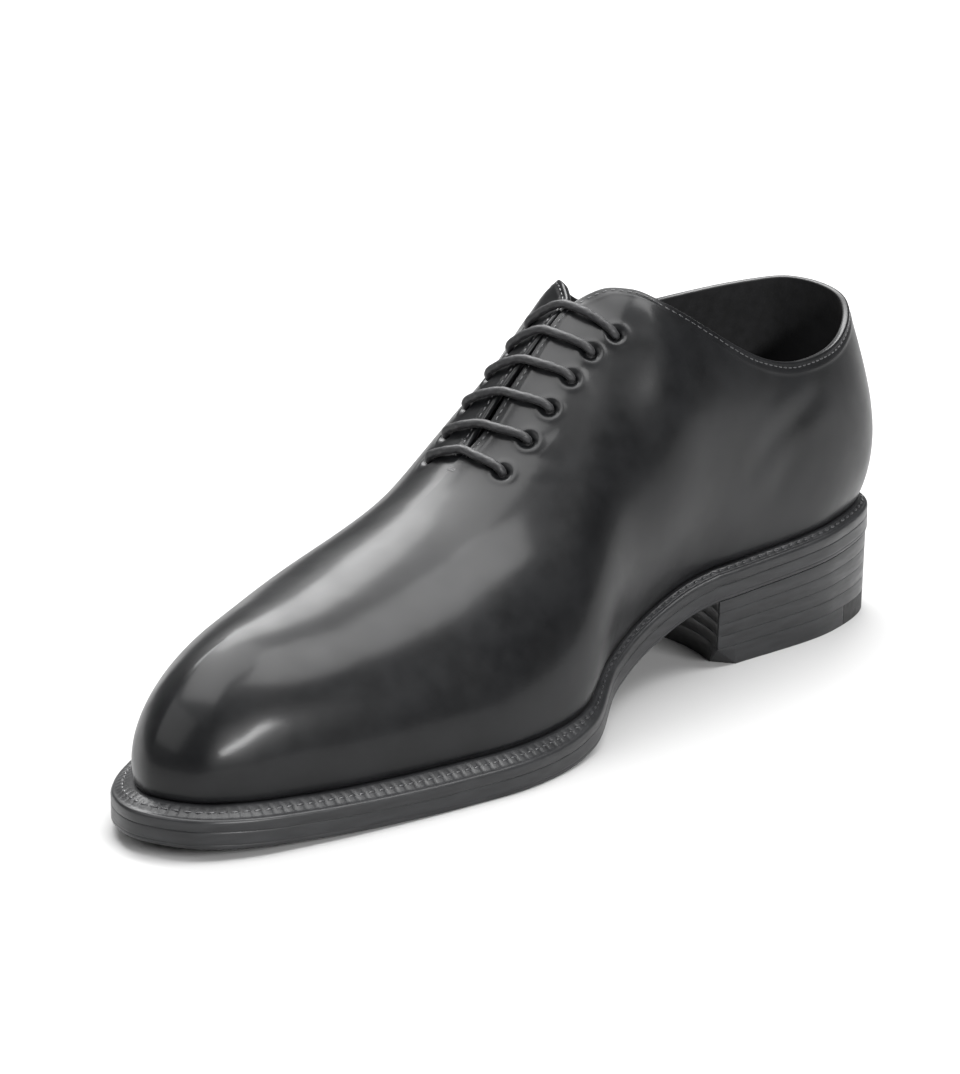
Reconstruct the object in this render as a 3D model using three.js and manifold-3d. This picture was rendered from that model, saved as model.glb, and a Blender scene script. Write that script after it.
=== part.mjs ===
// A black whole cut oxford, right shoe, standing empty on its sole. Millimetres, +Z up.
// While it is worked out, X runs from the back of the heel (0) to the toe tip, +Y is the inner
// (medial) side and Z = 0 is the floor. The group is then moved so that its origin is the middle
// of the shoe's box, on the floor.

import * as THREE from 'three';
import Module from 'manifold-3d';
import { mergeVertices } from 'three/addons/utils/BufferGeometryUtils.js';

const wasm = await Module();
wasm.setup();

// Driving sizes
const SOLE_LENGTH = 303;
const BALL_WIDTH = 103;
const HEEL_HEIGHT_BACK = 25.6;
const HEEL_HEIGHT_BREAST = 20.7;
const HEEL_LENGTH_MEDIAL = 85;
const HEEL_LENGTH_LATERAL = 78.5;
const BREAST_DEPTH = 9;
const HEEL_CORNER_CUT = 7;
const HEEL_CORNER_TURN = 0.45;
const HEEL_CORNER_SPACE = 2;
const HEEL_INSET = 0.4;
const HEEL_TAPER = 0.8;
const TOP_PIECE_THICKNESS = 6;
const LIFT_COUNT = 4;
const RUBBER_LENGTH_MEDIAL = 29;
const RUBBER_LENGTH_LATERAL = 39;
const HEEL_SEAM_WIDTH = 61;
const TOE_SPRING = 4;
const OUTSOLE_THICKNESS = 5;
const WELT_THICKNESS = 3.1;
const WELT_RISE = 2.4;
const WELT_MARGIN = 6.4;
const WELT_LIP = 0.8;
const WELT_WIDTH = 13;
const EDGE_ROUND = 0.9;
const INSOLE_THICKNESS = 2.6;
const UPPER_HEIGHT = 92;
const UPPER_WALL = 1.9;
const TONGUE_WALL = 1.6;
const TONGUE_HALF_WIDTH = 25;
const TONGUE_TAPER = 0.25;
const SLIT_GAP = 2.6;
const LACE_DIAMETER = 2.6;
const LACE_HOLE = 4.4;
const LACE_ARCH = 0.9;
const GAP = 0.3;

// How finely the curved faces are cut
const OUTLINE_STEPS = 104;
const RIB_STEPS = 11;
const LACE_SIDES = 8;
const HOLE_SIDES = 10;
const BREAST_STEPS = 10;
const TONGUE_STEPS = 14;
const TONGUE_ACROSS = 12;
const BISECTIONS = 24;

// Sole outline: how far along the length, then the medial and lateral half widths as shares
// of the ball width.
const OUTLINE_COLUMNS = ['along', 'medial', 'lateral'];
const OUTLINE_TABLE = [
    [0.026, 0.228, 0.206],
    [0.116, 0.322, 0.289],
    [0.248, 0.292, 0.331],
    [0.347, 0.250, 0.366],
    [0.446, 0.303, 0.418],
    [0.545, 0.456, 0.476],
    [0.644, 0.494, 0.505],
    [0.726, 0.456, 0.483],
    [0.809, 0.400, 0.405],
    [0.884, 0.337, 0.308],
    [0.944, 0.270, 0.207],
    [0.983, 0.180, 0.101],
];
const TOE_TIP_SIDE = 0.024;

// Underside of the outsole: height as a share of the heel's height at its breast, at shares of
// the way from the breast to where the forepart comes down flat.
const WAIST_COLUMNS = ['way', 'height'];
const WAIST_TABLE = [
    [0.00, 1.000],
    [0.08, 0.925],
    [0.20, 0.760],
    [0.35, 0.570],
    [0.50, 0.372],
    [0.65, 0.198],
    [0.80, 0.080],
    [0.90, 0.024],
    [1.00, 0.000],
];
const FLAT_START = 0.614;
const SPRING_START = 0.700;

// How much of the welt's margin shows outside the upper, and how much of its rise it has, at
// shares of each side from the heel's back to the toe tip.
const MARGIN_COLUMNS = ['around', 'medial', 'lateral', 'rise'];
const MARGIN_TABLE = [
    [0.00, 0.52, 0.52, 0.50],
    [0.24, 0.50, 0.54, 0.50],
    [0.42, 0.44, 0.60, 0.50],
    [0.52, 0.56, 0.74, 0.66],
    [0.62, 0.90, 0.94, 0.92],
    [0.75, 1.00, 1.00, 1.00],
    [1.00, 1.00, 1.00, 1.00],
];

// The upper's ribs. Each row is one rib, from the feather line to the top edge or the ridge.
// around: share of the feather line's side, from the heel's back to the toe tip.
// x, y, z: the rib's top, as shares of the sole length, of the ball width, and of the upper's
// height above the feather line there.
// out, up: the rib leaves the feather line outwards and upwards by these shares of its height.
// away, drop: it reaches its top from this share of the ball width outwards and this share of
// its height below.
const RIB_COLUMNS = ['around', 'x', 'y', 'z', 'out', 'up', 'away', 'drop'];
const MEDIAL_RIBS = [
    [0.000, 0.012, 0.000, 0.665, 0.180, 0.32, 0.046, 0.38],
    [0.050, 0.018, 0.108, 0.645, 0.175, 0.32, 0.056, 0.38],
    [0.100, 0.046, 0.186, 0.597, 0.150, 0.31, 0.065, 0.38],
    [0.155, 0.098, 0.242, 0.562, 0.115, 0.30, 0.065, 0.38],
    [0.215, 0.160, 0.264, 0.576, 0.095, 0.30, 0.065, 0.37],
    [0.271, 0.222, 0.262, 0.646, 0.115, 0.30, 0.075, 0.36],
    [0.320, 0.284, 0.236, 0.782, 0.150, 0.30, 0.115, 0.33],
    [0.360, 0.326, 0.180, 0.910, 0.180, 0.30, 0.175, 0.28],
    [0.392, 0.350, 0.100, 0.988, 0.190, 0.31, 0.240, 0.16],
    [0.414, 0.368, 0.032, 1.005, 0.190, 0.32, 0.280, 0.10],
    [0.428, 0.383, -0.006, 0.998, 0.185, 0.33, 0.295, 0.08],
    [0.445, 0.402, -0.020, 0.978, 0.175, 0.33, 0.305, 0.06],
    [0.500, 0.470, -0.022, 0.868, 0.130, 0.34, 0.320, 0.035],
    [0.560, 0.535, -0.020, 0.730, 0.080, 0.36, 0.305, 0.02],
    [0.633, 0.612, -0.012, 0.618, 0.075, 0.40, 0.285, 0.01],
    [0.707, 0.694, -0.004, 0.540, 0.090, 0.42, 0.260, 0.00],
    [0.781, 0.765, 0.005, 0.488, 0.110, 0.42, 0.230, 0.00],
    [0.850, 0.820, 0.010, 0.456, 0.120, 0.43, 0.195, 0.00],
    [0.907, 0.852, 0.014, 0.436, 0.120, 0.44, 0.175, 0.00],
    [0.950, 0.868, 0.018, 0.423, 0.115, 0.45, 0.170, 0.00],
    [1.000, 0.880, 0.022, 0.412, 0.110, 0.45, 0.175, 0.00],
];
const LATERAL_RIBS = [
    [0.000, 0.012, 0.000, 0.665, 0.180, 0.32, 0.046, 0.38],
    [0.050, 0.018, -0.104, 0.668, 0.175, 0.32, 0.056, 0.38],
    [0.100, 0.046, -0.182, 0.662, 0.155, 0.31, 0.065, 0.38],
    [0.155, 0.098, -0.246, 0.662, 0.125, 0.30, 0.065, 0.38],
    [0.215, 0.160, -0.276, 0.672, 0.105, 0.30, 0.065, 0.37],
    [0.271, 0.222, -0.276, 0.702, 0.095, 0.30, 0.075, 0.36],
    [0.320, 0.284, -0.248, 0.788, 0.095, 0.30, 0.115, 0.33],
    [0.360, 0.326, -0.204, 0.896, 0.095, 0.30, 0.165, 0.28],
    [0.392, 0.349, -0.152, 0.966, 0.095, 0.31, 0.210, 0.20],
    [0.414, 0.366, -0.092, 0.984, 0.095, 0.32, 0.240, 0.15],
    [0.428, 0.382, -0.042, 0.983, 0.095, 0.33, 0.255, 0.12],
    [0.445, 0.402, -0.022, 0.972, 0.095, 0.33, 0.250, 0.12],
    [0.500, 0.470, -0.022, 0.868, 0.080, 0.34, 0.240, 0.09],
    [0.560, 0.535, -0.020, 0.730, 0.060, 0.36, 0.240, 0.05],
    [0.633, 0.612, -0.012, 0.618, 0.055, 0.40, 0.256, 0.02],
    [0.707, 0.694, -0.004, 0.540, 0.075, 0.42, 0.258, 0.00],
    [0.781, 0.765, 0.005, 0.488, 0.100, 0.42, 0.235, 0.00],
    [0.850, 0.820, 0.010, 0.456, 0.110, 0.43, 0.195, 0.00],
    [0.907, 0.852, 0.014, 0.436, 0.110, 0.44, 0.160, 0.00],
    [0.950, 0.868, 0.018, 0.423, 0.110, 0.45, 0.155, 0.00],
    [1.000, 0.880, 0.022, 0.412, 0.110, 0.45, 0.175, 0.00],
];
// How strongly a rib turns square to the feather line on its way to the top.
const RIB_TURN = 20;
// How much closer together a rib's points lie at its ends.
const RIB_CROWDING = 0.35;
// Where the slit starts and ends, as shares of the feather line's side.
const SLIT_TOP = 0.428;
const SLIT_BOTTOM = 0.575;
// How far before and behind the slit's top the ribs turn to meet the ridge crosswise, and the
// steps at which slopes are measured, all in the same shares.
const SLIT_BLEND = 0.05;
const SLOPE_STEP = 0.01;
const NORMAL_STEP = 0.004;
// A lace hole's share is looked for up to this far in front of the slit.
const SLIT_MARGIN = 0.15;

// The tongue's two ends along the shoe, and where it starts to rise to the upper.
const TONGUE_TOP = 0.372;
const TONGUE_FOOT = 0.615;
const TONGUE_DROP = 0.78;

// Lace bars, from the lowest to the top one: where each crosses the slit as a share of the sole
// length, how far its two holes lie from the slit, and how far along the shoe the medial hole
// lies behind the crossing. Millimetres but for the first column.
const BAR_COLUMNS = ['along', 'medial', 'lateral', 'back'];
const BAR_TABLE = [
    [0.545, 14.5, 13.0, 1.0],
    [0.518, 14.5, 13.0, 3.0],
    [0.489, 15.0, 13.5, 3.5],
    [0.459, 15.8, 13.5, 4.0],
    [0.430, 16.6, 14.0, 4.0],
    [0.401, 17.0, 14.0, 4.0],
];

// A lace bar's way from its hole to the slit: its place on the leather, as a share of the hole's
// distance from the slit, and how much of its arch it has there.
const ARCH_TABLE = [
    [0.93, 0.33],
    [0.72, 0.70],
    [0.36, 1.00],
];

const leather = (name, color, roughness) =>
    new THREE.MeshStandardMaterial({ name, color, roughness, metalness: 0 });
const CALF = leather('calf', 0x1d1e20, 0.3);
const LINING = leather('lining', 0x17171a, 0.7);
const SOLE_LEATHER = leather('sole_leather', 0x26272a, 0.45);
const RUBBER = leather('rubber', 0x1a1b1c, 0.7);
const CORD = leather('waxed_cord', 0x141416, 0.6);

// Numbers and curves

const rowsOf = (columns, table) =>
    table.map((row) => Object.fromEntries(columns.map((name, i) => [name, row[i]])));

// A smooth curve through (at, value) pairs that doesn't overshoot between them.
function smoothCurve(at, value) {
    const n = at.length;
    const step = at.slice(1).map((a, i) => a - at[i]);
    const rise = step.map((h, i) => (value[i + 1] - value[i]) / h);
    const slope = at.map((_, i) => {
        if (i === 0) return rise[0];
        if (i === n - 1) return rise[n - 2];
        if (rise[i - 1] * rise[i] <= 0) return 0;
        const before = 2 * step[i] + step[i - 1];
        const after = step[i] + 2 * step[i - 1];
        return (before + after) / (before / rise[i - 1] + after / rise[i]);
    });
    return (x) => {
        let i = 0;
        while (i < n - 2 && x > at[i + 1]) i += 1;
        const t = THREE.MathUtils.clamp((x - at[i]) / step[i], 0, 1);
        const a = 2 * t ** 3 - 3 * t ** 2 + 1;
        const b = t ** 3 - 2 * t ** 2 + t;
        const c = 3 * t ** 2 - 2 * t ** 3;
        const d = t ** 3 - t ** 2;
        return a * value[i] + b * step[i] * slope[i] + c * value[i + 1] + d * step[i] * slope[i + 1];
    };
}

const columnCurve = (rows, at, name) =>
    smoothCurve(rows.map((row) => row[at]), rows.map((row) => row[name]));

// Sole outline

const outlineRows = rowsOf(OUTLINE_COLUMNS, OUTLINE_TABLE);
const outlinePoint = (along, side) => new THREE.Vector3(along * SOLE_LENGTH, side * BALL_WIDTH, 0);
const outlineCurve = new THREE.CatmullRomCurve3([
    outlinePoint(0, 0),
    ...outlineRows.map((row) => outlinePoint(row.along, row.medial)),
    outlinePoint(1, TOE_TIP_SIDE),
    ...outlineRows.map((row) => outlinePoint(row.along, -row.lateral)).reverse(),
], true, 'centripetal');
outlineCurve.arcLengthDivisions = 1200;

// The outline's points: as many on the medial side as on the lateral one, so that two facing
// ribs have the same share of their side.
const SIDE_STEPS = OUTLINE_STEPS / 2;
const fine = outlineCurve.getSpacedPoints(OUTLINE_STEPS * 20);
const toeTipShare = fine.reduce((best, p, i) => (p.x > fine[best].x ? i : best), 0) / (fine.length - 1);
const outlineShare = (i) => (i <= SIDE_STEPS
    ? (toeTipShare * i) / SIDE_STEPS
    : toeTipShare + ((1 - toeTipShare) * (i - SIDE_STEPS)) / SIDE_STEPS);
const outline = Array.from({ length: OUTLINE_STEPS }, (_, i) => outlineCurve.getPointAt(outlineShare(i)));
const sideShare = outline.map((_, i) => Math.min(i, OUTLINE_STEPS - i) / SIDE_STEPS);

function outwardAt(loop, i) {
    const before = loop[(i + loop.length - 1) % loop.length];
    const after = loop[(i + 1) % loop.length];
    const along = after.clone().sub(before).normalize();
    return new THREE.Vector3(-along.y, along.x, 0);
}

function offsetLoop(loop, distance) {
    return loop.map((p, i) => p.clone().addScaledVector(outwardAt(loop, i), distance(i)));
}

// Height of the outsole's underside along the shoe: one slope over the heel, so that the lifts
// meet a flat seat, then down to the floor, and up again at the toe.
const SEAT_END = HEEL_LENGTH_MEDIAL + GAP;
const waistRows = rowsOf(WAIST_COLUMNS, WAIST_TABLE);
const waistCurve = columnCurve(waistRows, 'way', 'height');
function undersideHeight(x) {
    const flatStart = FLAT_START * SOLE_LENGTH;
    const springStart = SPRING_START * SOLE_LENGTH;
    if (x < SEAT_END) {
        return HEEL_HEIGHT_BACK + (HEEL_HEIGHT_BREAST - HEEL_HEIGHT_BACK) * (x / SEAT_END);
    }
    if (x < flatStart) {
        return HEEL_HEIGHT_BREAST * waistCurve((x - SEAT_END) / (flatStart - SEAT_END));
    }
    const toe = Math.max(0, (x - springStart) / (SOLE_LENGTH - springStart));
    return TOE_SPRING * toe ** 2;
}

const marginRows = rowsOf(MARGIN_COLUMNS, MARGIN_TABLE);
const marginCurves = {
    medial: columnCurve(marginRows, 'around', 'medial'),
    lateral: columnCurve(marginRows, 'around', 'lateral'),
    rise: columnCurve(marginRows, 'around', 'rise'),
};
const marginAt = (i) => WELT_MARGIN * marginCurves[i <= SIDE_STEPS ? 'medial' : 'lateral'](sideShare[i]);

const outsoleTop = (x) => undersideHeight(x) + OUTSOLE_THICKNESS;
const weltBottom = (x) => outsoleTop(x) + GAP;
const weltEdgeTop = (x) => weltBottom(x) + WELT_THICKNESS;
const weltInnerTop = (x) => weltEdgeTop(x) + WELT_RISE * marginCurves.rise(x / SOLE_LENGTH);
const featherHeight = (x) => weltInnerTop(x) + GAP;

// Meshes from loops and grids of points

function meshFrom(name, points, faces, material) {
    const geometry = new THREE.BufferGeometry();
    const flat = new Float32Array(points.flatMap((p) => [p.x, p.y, p.z]));
    geometry.setAttribute('position', new THREE.BufferAttribute(flat, 3));
    geometry.setIndex(faces.flat());
    const mesh = new THREE.Mesh(geometry, material);
    mesh.name = name;
    return mesh;
}

function solidFrom(geometry) {
    const bare = geometry.clone();
    bare.deleteAttribute('normal');
    bare.deleteAttribute('uv');
    const merged = mergeVertices(bare, 1e-4);
    return new wasm.Manifold(new wasm.Mesh({
        numProp: 3,
        vertProperties: new Float32Array(merged.attributes.position.array),
        triVerts: new Uint32Array(merged.index.array),
    }));
}

function meshOf(name, solid, material) {
    const result = solid.getMesh();
    const geometry = new THREE.BufferGeometry();
    const flat = new Float32Array(result.numVert * 3);
    for (let i = 0; i < result.numVert; i += 1) {
        for (let k = 0; k < 3; k += 1) {
            flat[i * 3 + k] = result.vertProperties[i * result.numProp + k];
        }
    }
    geometry.setAttribute('position', new THREE.BufferAttribute(flat, 3));
    geometry.setIndex([...result.triVerts]);
    const mesh = new THREE.Mesh(geometry, material);
    mesh.name = name;
    return mesh;
}

// Faces between two closed rings of equal length; the second ring lies on the far side.
function band(first, second, count) {
    const faces = [];
    for (let i = 0; i < count; i += 1) {
        const j = (i + 1) % count;
        faces.push([first + i, first + j, second + j], [first + i, second + j, second + i]);
    }
    return faces;
}

// A plate: stacked rings that run the same way round, closed by flat-ish lids at both ends.
// The lids join the points that face each other across the shoe.
function plateLid(start, count, toe, up) {
    const faces = [];
    let a = 1;
    let b = count - 1;
    const push = (p, q, r) => faces.push(up ? [start + p, start + q, start + r] : [start + p, start + r, start + q]);
    push(0, a, b);
    while (a < b - 1) {
        const aLeft = toe - a;
        const bLeft = b - toe;
        if (aLeft >= bLeft) {
            push(a, a + 1, b);
            a += 1;
        } else {
            push(a, b - 1, b);
            b -= 1;
        }
    }
    return faces;
}

function plate(name, rings, material) {
    const count = rings[0].length;
    const toe = rings[0].reduce((best, p, i) => (p.x > rings[0][best].x ? i : best), 0);
    const faces = [];
    rings.slice(1).forEach((_, k) => faces.push(...band((k + 1) * count, k * count, count)));
    faces.push(...plateLid(0, count, toe, true));
    faces.push(...plateLid((rings.length - 1) * count, count, toe, false));
    return meshFrom(name, rings.flat(), faces, material);
}

function ringAt(loop, height) {
    return loop.map((p) => new THREE.Vector3(p.x, p.y, height(p.x)));
}

// Outsole, welt and insole

const feather = offsetLoop(outline, (i) => -marginAt(i));
const insoleLoop = offsetLoop(outline, (i) => -marginAt(i) - UPPER_WALL - GAP);
const weltInner = offsetLoop(outline, () => -WELT_WIDTH);
const insoleFoot = offsetLoop(outline, () => -WELT_WIDTH - GAP);

function makeOutsole() {
    const inner = offsetLoop(outline, () => -EDGE_ROUND);
    return plate('outsole', [
        ringAt(inner, undersideHeight),
        ringAt(outline, (x) => undersideHeight(x) + EDGE_ROUND),
        ringAt(outline, outsoleTop),
    ], SOLE_LEATHER);
}

function makeWelt() {
    const count = outline.length;
    const shoulder = offsetLoop(outline, () => -EDGE_ROUND);
    const top = offsetLoop(outline, (i) => WELT_LIP - marginAt(i));
    const rings = [
        ringAt(outline, weltBottom),
        ringAt(outline, (x) => weltEdgeTop(x) - EDGE_ROUND),
        ringAt(shoulder, weltEdgeTop),
        ringAt(top, weltInnerTop),
        ringAt(weltInner, weltInnerTop),
        ringAt(weltInner, weltBottom),
    ];
    const faces = [];
    rings.forEach((_, k) => {
        const next = (k + 1) % rings.length;
        faces.push(...band(next * count, k * count, count));
    });
    return meshFrom('welt', rings.flat(), faces, SOLE_LEATHER);
}

function makeInsole() {
    return plate('insole', [
        ringAt(insoleFoot, weltBottom),
        ringAt(insoleFoot, (x) => weltInnerTop(x) + GAP),
        ringAt(insoleLoop, (x) => weltInnerTop(x) + GAP),
        ringAt(insoleLoop, (x) => weltInnerTop(x) + GAP + INSOLE_THICKNESS),
    ], LINING);
}

// Upper

const sides = {
    medial: { name: 'medial', rows: rowsOf(RIB_COLUMNS, MEDIAL_RIBS), sign: 1 },
    lateral: { name: 'lateral', rows: rowsOf(RIB_COLUMNS, LATERAL_RIBS), sign: -1 },
};
Object.values(sides).forEach((side) => {
    side.curves = Object.fromEntries(RIB_COLUMNS.slice(1)
        .map((name) => [name, columnCurve(side.rows, 'around', name)]));
});

// Half the slit's gap as a share of SLIT_GAP: nearly closed under the top bars, open below them.
const slitHalfGap = smoothCurve(
    [0, SLIT_TOP, 0.460, 0.500, 0.540, SLIT_BOTTOM, 1],
    [0, 0.16, 0.16, 0.42, 0.5, 0, 0],
);

function crestPoint(side, share) {
    const at = (name) => side.curves[name](share);
    const x = at('x') * SOLE_LENGTH;
    const y = at('y') * BALL_WIDTH + side.sign * slitHalfGap(share) * SLIT_GAP;
    return new THREE.Vector3(x, y, featherHeight(x) + at('z') * UPPER_HEIGHT);
}

const featherCurve = new THREE.CatmullRomCurve3(feather, true, 'centripetal');
const curveParameter = (side, share) => (side.sign > 0 ? share / 2 : 1 - share / 2) % 1;

function featherPoint(side, share) {
    const p = featherCurve.getPoint(curveParameter(side, share));
    p.z = featherHeight(p.x);
    return p;
}

function featherOutward(side, share) {
    const along = featherCurve.getTangent(curveParameter(side, share));
    return new THREE.Vector3(-along.y, along.x, 0).normalize();
}

// The slope of the ridge along the shoe, which the ribs there meet crosswise.
function ridgeSlope(side, share) {
    const middle = Math.min(share, 1 - SLOPE_STEP);
    const before = crestPoint(side, middle - SLOPE_STEP);
    const after = crestPoint(side, middle + SLOPE_STEP);
    const blend = THREE.MathUtils.smoothstep(share, SLIT_TOP - SLIT_BLEND, SLIT_TOP + SLIT_BLEND);
    return (blend * (after.z - before.z)) / (after.x - before.x);
}

// One rib as a cubic curve from the feather line to its top.
function ribCurve(side, share) {
    const at = (name) => side.curves[name](share);
    const foot = featherPoint(side, share);
    const top = crestPoint(side, share);
    const outward = featherOutward(side, share);
    const height = top.z - foot.z;
    const lower = foot.clone().addScaledVector(outward, at('out') * height);
    lower.z += at('up') * height;
    const towards = foot.clone().sub(top).setZ(0).addScaledVector(outward, RIB_TURN).normalize();
    const reach = at('away') * BALL_WIDTH;
    const upper = top.clone().addScaledVector(towards, reach);
    upper.z += ridgeSlope(side, share) * towards.x * reach - at('drop') * height;
    return new THREE.CubicBezierCurve3(foot, lower, upper, top);
}

// Share of each rib at which its points lie, closer together at the ends.
function ribShare(j) {
    const turn = (Math.PI * j) / RIB_STEPS;
    return 0.5 - 0.5 * Math.cos(turn) * (1 - RIB_CROWDING * Math.sin(turn) ** 2);
}

const SLIT_END = Math.round(SLIT_BOTTOM * SIDE_STEPS);

function makeUpper() {
    const rows = RIB_STEPS + 1;
    const outer = [];
    outline.forEach((_, i) => {
        const side = i <= SIDE_STEPS ? sides.medial : sides.lateral;
        const rib = ribCurve(side, sideShare[i]);
        for (let j = 0; j < rows; j += 1) outer.push(rib.getPoint(ribShare(j)));
    });
    // On the ridge, in front of the slit, the two sides share their top points.
    const index = (i, j) => {
        const k = i % OUTLINE_STEPS;
        const mirrored = OUTLINE_STEPS - k;
        const shared = j === RIB_STEPS && k > SIDE_STEPS && mirrored >= SLIT_END;
        return (shared ? mirrored : k) * rows + j;
    };
    const skin = [];
    outline.forEach((_, i) => {
        for (let j = 0; j < RIB_STEPS; j += 1) {
            const a = index(i, j);
            const b = index(i + 1, j);
            const c = index(i + 1, j + 1);
            const d = index(i, j + 1);
            skin.push([a, c, b]);
            if (c !== d) skin.push([a, d, c]);
        }
    });
    const normals = outer.map(() => new THREE.Vector3());
    skin.forEach(([a, b, c]) => {
        const n = outer[b].clone().sub(outer[a]).cross(outer[c].clone().sub(outer[a]));
        [a, b, c].forEach((v) => normals[v].add(n));
    });
    const inner = outer.map((p, i) => p.clone().addScaledVector(normals[i].normalize(), -UPPER_WALL));
    // The foot of the wall stays level, so that it stands on the welt.
    outline.forEach((_, i) => {
        inner[index(i, 0)].z = outer[index(i, 0)].z;
    });
    const far = outer.length;
    const faces = [...skin, ...skin.map(([a, b, c]) => [far + a, far + c, far + b])];
    const close = (loop) => loop.forEach((a, k) => {
        const b = loop[(k + 1) % loop.length];
        faces.push([a, b, far + b], [a, far + b, far + a]);
    });
    close(outline.map((_, i) => index(i, 0)));
    const topEdge = [];
    for (let i = 0; i <= SLIT_END; i += 1) topEdge.push(index(i, RIB_STEPS));
    for (let i = OUTLINE_STEPS - SLIT_END + 1; i < OUTLINE_STEPS; i += 1) topEdge.push(index(i, RIB_STEPS));
    close(topEdge.reverse());
    // Drop the ridge points that the other side's stand for.
    const used = [...new Set(faces.flat())].sort((a, b) => a - b);
    const renumber = new Map(used.map((v, i) => [v, i]));
    const points = [...outer, ...inner];
    const shell = meshFrom('shell', used.map((v) => points[v]), faces.map((f) => f.map((v) => renumber.get(v))), CALF);
    const punched = lacePlaces().reduce((solid, place) => solid.subtract(holePunch(place)), solidFrom(shell.geometry));
    return meshOf('upper', punched, CALF);
}

// A point of the upper's outer face beside the slit or the ridge, this far down its rib, with
// the direction out of the leather.
function facingPlace(side, share, distance) {
    const at = (around) => {
        const rib = ribCurve(side, around);
        const way = 1 - distance / rib.getLength();
        return { point: rib.getPointAt(way), down: rib.getTangentAt(way).negate() };
    };
    const here = at(share);
    const along = at(share + NORMAL_STEP).point.sub(at(share - NORMAL_STEP).point);
    const normal = here.down.clone().cross(along).multiplyScalar(-side.sign).normalize();
    return { point: here.point, normal };
}

// Share of the feather line's side whose rib ends at this share of the sole's length.
function shareOfCrest(along) {
    let low = SLIT_TOP - SLIT_BLEND;
    let high = 1;
    for (let i = 0; i < BISECTIONS; i += 1) {
        const middle = (low + high) / 2;
        if (sides.medial.curves.x(middle) < along) low = middle;
        else high = middle;
    }
    return low;
}

// The place beside the slit that lies this share of the sole's length along the shoe.
function placeAlong(side, along, distance) {
    let low = SLIT_TOP - SLIT_BLEND;
    let high = SLIT_BOTTOM + SLIT_MARGIN;
    for (let i = 0; i < BISECTIONS; i += 1) {
        const middle = (low + high) / 2;
        if (facingPlace(side, middle, distance).point.x < along * SOLE_LENGTH) low = middle;
        else high = middle;
    }
    return facingPlace(side, low, distance);
}

const bars = rowsOf(BAR_COLUMNS, BAR_TABLE);

// A place on a lace bar's way: at part 1 it is the bar's hole, at part 0 the edge of the slit.
function barPlace(side, bar, part) {
    const back = side.sign > 0 ? (bar.back * part) / SOLE_LENGTH : 0;
    return placeAlong(side, bar.along - back, Math.max(bar[side.name] * part, GAP));
}

function lacePlaces() {
    return bars.flatMap((bar) => Object.values(sides).map((side) => barPlace(side, bar, 1)));
}

function holePunch({ point, normal }) {
    const length = 4 * UPPER_WALL;
    const geometry = new THREE.CylinderGeometry(LACE_HOLE / 2, LACE_HOLE / 2, length, HOLE_SIDES);
    geometry.applyQuaternion(new THREE.Quaternion().setFromUnitVectors(new THREE.Vector3(0, 1, 0), normal));
    geometry.translate(point.x, point.y, point.z);
    return solidFrom(geometry);
}

// Lace

function tube(points, diameter, stepsPerPoint) {
    const section = new THREE.Shape();
    section.absarc(0, 0, diameter / 2, 0, 2 * Math.PI);
    return solidFrom(new THREE.ExtrudeGeometry(section, {
        extrudePath: new THREE.CatmullRomCurve3(points, false, 'centripetal'),
        steps: (points.length - 1) * stepsPerPoint,
        curveSegments: LACE_SIDES / 2,
        bevelEnabled: false,
    }));
}

const LACE_RADIUS = LACE_DIAMETER / 2;
const LACE_DEPTH = UPPER_WALL + 3 * GAP + LACE_RADIUS;
const lift = ({ point, normal }, height) => point.clone().addScaledVector(normal, height);

// One bar: up out of the lateral hole, over both facings and down into the medial hole.
function laceBar(bar) {
    const over = (side, part, height) => lift(barPlace(side, bar, part), height);
    const clear = LACE_RADIUS + GAP;
    const half = (side) => [
        over(side, 1, -LACE_DEPTH),
        over(side, 1, GAP),
        ...ARCH_TABLE.map(([part, arch]) => over(side, part, clear + LACE_ARCH * arch)),
    ];
    const medial = half(sides.medial);
    const top = over(sides.medial, 0, 0).add(over(sides.lateral, 0, 0)).multiplyScalar(0.5);
    top.z += clear + LACE_ARCH;
    return tube([...half(sides.lateral), top, ...medial.reverse()], LACE_DIAMETER, 1);
}

// The hidden runs under each facing, from the lowest hole to the highest.
function laceRun(side) {
    const points = bars.map((bar) => lift(barPlace(side, bar, 1), -LACE_DEPTH));
    return tube(points, LACE_DIAMETER, 1);
}

function makeLace() {
    const parts = [...bars.map(laceBar), ...Object.values(sides).map(laceRun)];
    return meshOf('lace', parts.reduce((solid, part) => solid.add(part)), CORD);
}

// Tongue: under the slit, below the lace's hidden runs, and against the upper in front of them.

function makeTongue() {
    const from = shareOfCrest(TONGUE_TOP);
    const to = shareOfCrest(TONGUE_FOOT);
    const below = UPPER_WALL + LACE_DIAMETER + 5 * GAP;
    const depthAt = smoothCurve([0, TONGUE_DROP, 1], [below, below, UPPER_WALL + 2 * GAP]);
    const strip = [];
    const half = TONGUE_ACROSS / 2;
    for (let k = 0; k <= TONGUE_STEPS; k += 1) {
        const way = k / TONGUE_STEPS;
        const share = from + (to - from) * way;
        const width = TONGUE_HALF_WIDTH * (1 - TONGUE_TAPER * way);
        const row = [];
        for (let m = -half; m <= half; m += 1) {
            const side = m < 0 ? sides.lateral : sides.medial;
            const distance = Math.max((Math.abs(m) / half) * width, 0.01);
            const place = facingPlace(side, share, distance);
            if (m === 0) {
                const other = facingPlace(sides.lateral, share, distance);
                place.point.add(other.point).multiplyScalar(0.5);
                place.normal.add(other.normal).normalize();
            }
            row.push({ top: lift(place, -depthAt(way)), foot: lift(place, -depthAt(way) - TONGUE_WALL) });
        }
        strip.push(row);
    }
    return sheet('tongue', strip, CALF);
}

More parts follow.
